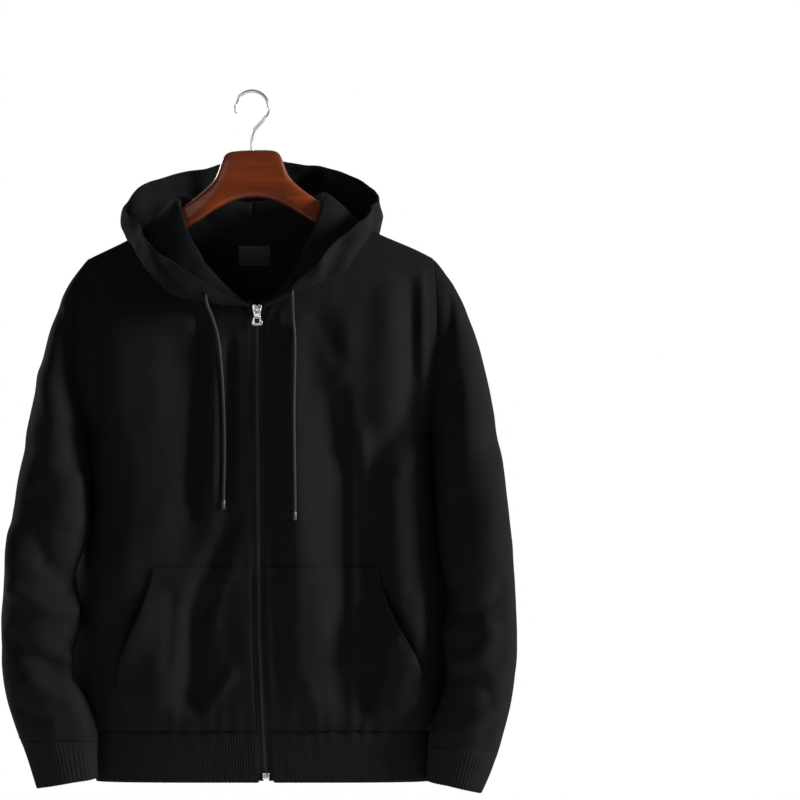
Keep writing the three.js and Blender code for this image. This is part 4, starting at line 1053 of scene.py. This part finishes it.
def pocketRows(side):
    sign = sides[side]
    heights = range(-595, -703, -9)
    rows = []
    for inset in (3, 8):
        line = [(float(np.interp(z, pockets["z"], pockets[side])) - sign * inset, z) for z in heights]
        rows.append(levelRow(line, 1))
    outer = pockets[side][-1] - sign * 5
    inner = float(zipX(-573)) + sign * 17
    rows.append(levelRow([(inner, -573), (outer, -573)], 1))
    return rows


def backRows():
    rows = [levelRow([(x, -757) for x in range(-176, 202, 9)], -1)]
    for side in sides:
        rows.append(levelRow(armholeLine(side), -1))
    return rows


def sleeveRows(side):
    ends = cuffs[side]
    line = [(ends["outer"][0], ends["outer"][1] + 5), (ends["inner"][0], ends["inner"][1] + 5)]
    return [levelRow(line, 1), levelRow(line, -1)]


# The hood's rim and the fold below it, from the zip to the middle of the back.
rims = {
    "fold": [
        (46, -75, -253), (64, -77, -252), (84, -75, -247), (104, -68, -231), (124, -52, -214),
        (139, -32, -188), (147, -6, -168), (149, 28, -176), (138, 58, -206), (114, 76, -236),
        (86, 83, -255), (58, 86, -264), (30, 87, -270), (2, 88, -272),
    ],
    "rim": [
        (46, -83, -238), (64, -86, -225), (84, -84, -211), (106, -77, -192), (128, -63, -173),
        (142, -42, -156), (150, -16, -142), (153, 22, -130), (147, 56, -112), (126, 79, -100),
        (98, 90, -92), (68, 96, -85), (35, 99, -80), (2, 100, -77),
    ],
    "lift": [2, 5, 8, 10, 9, 6, 3, 0, 0, 0, 0, 0, 0, 0],
    "hem": 19,
}


def hoodRows(side):
    sign = sides[side]
    line = []
    for fold, rim, lift in zip(rims["fold"], rims["rim"], rims["lift"]):
        up = (0, 0, lift if side == "left" else 0)
        top = Vector(rim) + Vector(up)
        down = Vector(fold) + Vector(up) - top
        if down.length > 20:
            spot = top + down * rims["hem"] / down.length
            out = Vector((spot.x, spot.y, 0)).normalized()
            line.append((Vector((sign * spot.x, spot.y, spot.z)), Vector((sign * out.x, out.y, 0))))
    outer, inner = [], []
    for (a, wayA), (b, wayB) in zip(line, line[1:]):
        count = max(1, round((b - a).length / stitch["step"]))
        for i in range(count):
            spot, way = a.lerp(b, (i + 0.5) / count), wayA.lerp(wayB, (i + 0.5) / count).normalized()
            outer.append((spot + way * 40, -way))
            inner.append((spot - way * 12, way))
    return [outer, inner]


# Worked eyelets where the cord leaves the hood.
def eyelet(side, tree):
    spot, normal, _, _ = tree.find_nearest(cordPaths[side][0] / 1000)
    normal = normal if normal.y < 0 else -normal
    bm = bmesh.new()
    bmesh.ops.create_circle(bm, cap_ends=False, segments=10, radius=0.0009)
    bmesh.ops.rotate(bm, cent=(0, 0, 0), matrix=Matrix.Rotation(math.pi / 2, 3, "X"), verts=bm.verts)
    bmesh.ops.translate(bm, vec=(0.0029, 0, 0), verts=bm.verts)
    bmesh.ops.spin(
        bm, geom=bm.edges[:], cent=(0, 0, 0), axis=(0, 0, 1), angle=2 * math.pi, steps=28, use_merge=True
    )
    bmesh.ops.remove_doubles(bm, verts=bm.verts, dist=0.00001)
    bmesh.ops.recalc_face_normals(bm, faces=bm.faces)
    turned = normal.to_track_quat("Z", "Y").to_matrix().to_4x4()
    bm.transform(Matrix.Translation(spot) @ turned)
    return finishPiece(newObject("eyelet." + side, bm), "thread")


for side in ("left", "right"):
    body = [pieces["front." + side], pieces["pocket." + side]]
    onFront = sewRows("front." + side, treeOf(body), frontRows(side))
    onPocket = sewRows("pocket." + side, treeOf(body), pocketRows(side))
    onSleeve = sewRows("sleeve." + side, treeOf([pieces["sleeve." + side]]), sleeveRows(side))
    hoodTree = treeOf([pieces["hood." + side]])
    onHood = sewRows("hood." + side, hoodTree, hoodRows(side))
    ring = eyelet(side, hoodTree)
    extra = {
        "front": [onFront],
        "pocket": [onPocket],
        "sleeve": [onSleeve],
        "hood": [onHood, ring],
        "cuff": [],
    }
    for kind, more in extra.items():
        pieces[kind + "." + side]
onBack = sewRows("back", treeOf([pieces["back"]]), backRows())
print("stitched")


# Cords on the finished cloth
for side in ("left", "right"):
    cord = cordPieces[side]
    finishPiece(cord, "cord", ["drawcord_" + side])
    end = cordPaths[side][-1]
    bm = bmesh.new()
    bmesh.ops.create_cone(bm, cap_ends=True, segments=24, radius1=0.0022, radius2=0.0022, depth=0.01)
    bevelEdges(bm, [e for e in bm.edges if e.calc_face_angle(0) > 1], 0.6, 3)
    bmesh.ops.translate(bm, vec=(end / 1000) + Vector((0, 0, -0.0045)), verts=bm.verts)
    tip = finishPiece(newObject("cordTip." + side, bm), "tip", ["cord_tip_" + side])


# Room
def areaLight(name, place, target, size, power):
    light = bpy.data.objects.new(name, bpy.data.lights.new(name, "AREA"))
    light.data.shape = "DISK"
    light.data.size = size
    light.data.energy = power
    light.location = place
    light.rotation_euler = (Vector(target) - Vector(place)).to_track_quat("-Z", "Y").to_euler()
    scene.collection.objects.link(light)


areaLight("key", (3.9, -1.0, 0.75), (0, 0, -0.45), 1.2, 480)
areaLight("fill", (-1.6, -3.8, 0.6), (0, 0, -0.45), 2.4, 26)
areaLight("behind", (-3.4, 2.8, 1.2), (0, 0, -0.45), 1.5, 300)


# White behind the garment and greyer in front of it, so that its folds keep their shadows.
def roomLight():
    world = bpy.data.worlds.new("room")
    world.use_nodes = True
    tree = world.node_tree
    split = tree.nodes.new("ShaderNodeSeparateXYZ")
    reach = tree.nodes.new("ShaderNodeMapRange")
    reach.interpolation_type = "SMOOTHSTEP"
    for socket, value in {"From Min": 0.15, "From Max": 0.75, "To Min": 0.24, "To Max": 1.0}.items():
        reach.inputs[socket].default_value = value
    tree.links.new(tree.nodes.new("ShaderNodeTexCoord").outputs["Generated"], split.inputs[0])
    tree.links.new(split.outputs["Y"], reach.inputs["Value"])
    tree.links.new(reach.outputs[0], tree.nodes["Background"].inputs["Strength"])
    tree.nodes["Background"].inputs["Color"].default_value = (1, 1, 1, 1)
    scene.world = world


roomLight()
bm = bmesh.new()
bmesh.ops.create_circle(bm, cap_ends=True, segments=96, radius=2)
bmesh.ops.translate(bm, vec=(0, 0, -1.25), verts=bm.verts)
floor = newObject("floor", bm)
floor.data.materials.append(plainPaint("floor", (0.8, 0.8, 0.8), (0.82, 0.82, 0.82), 0.8, 3, 0))
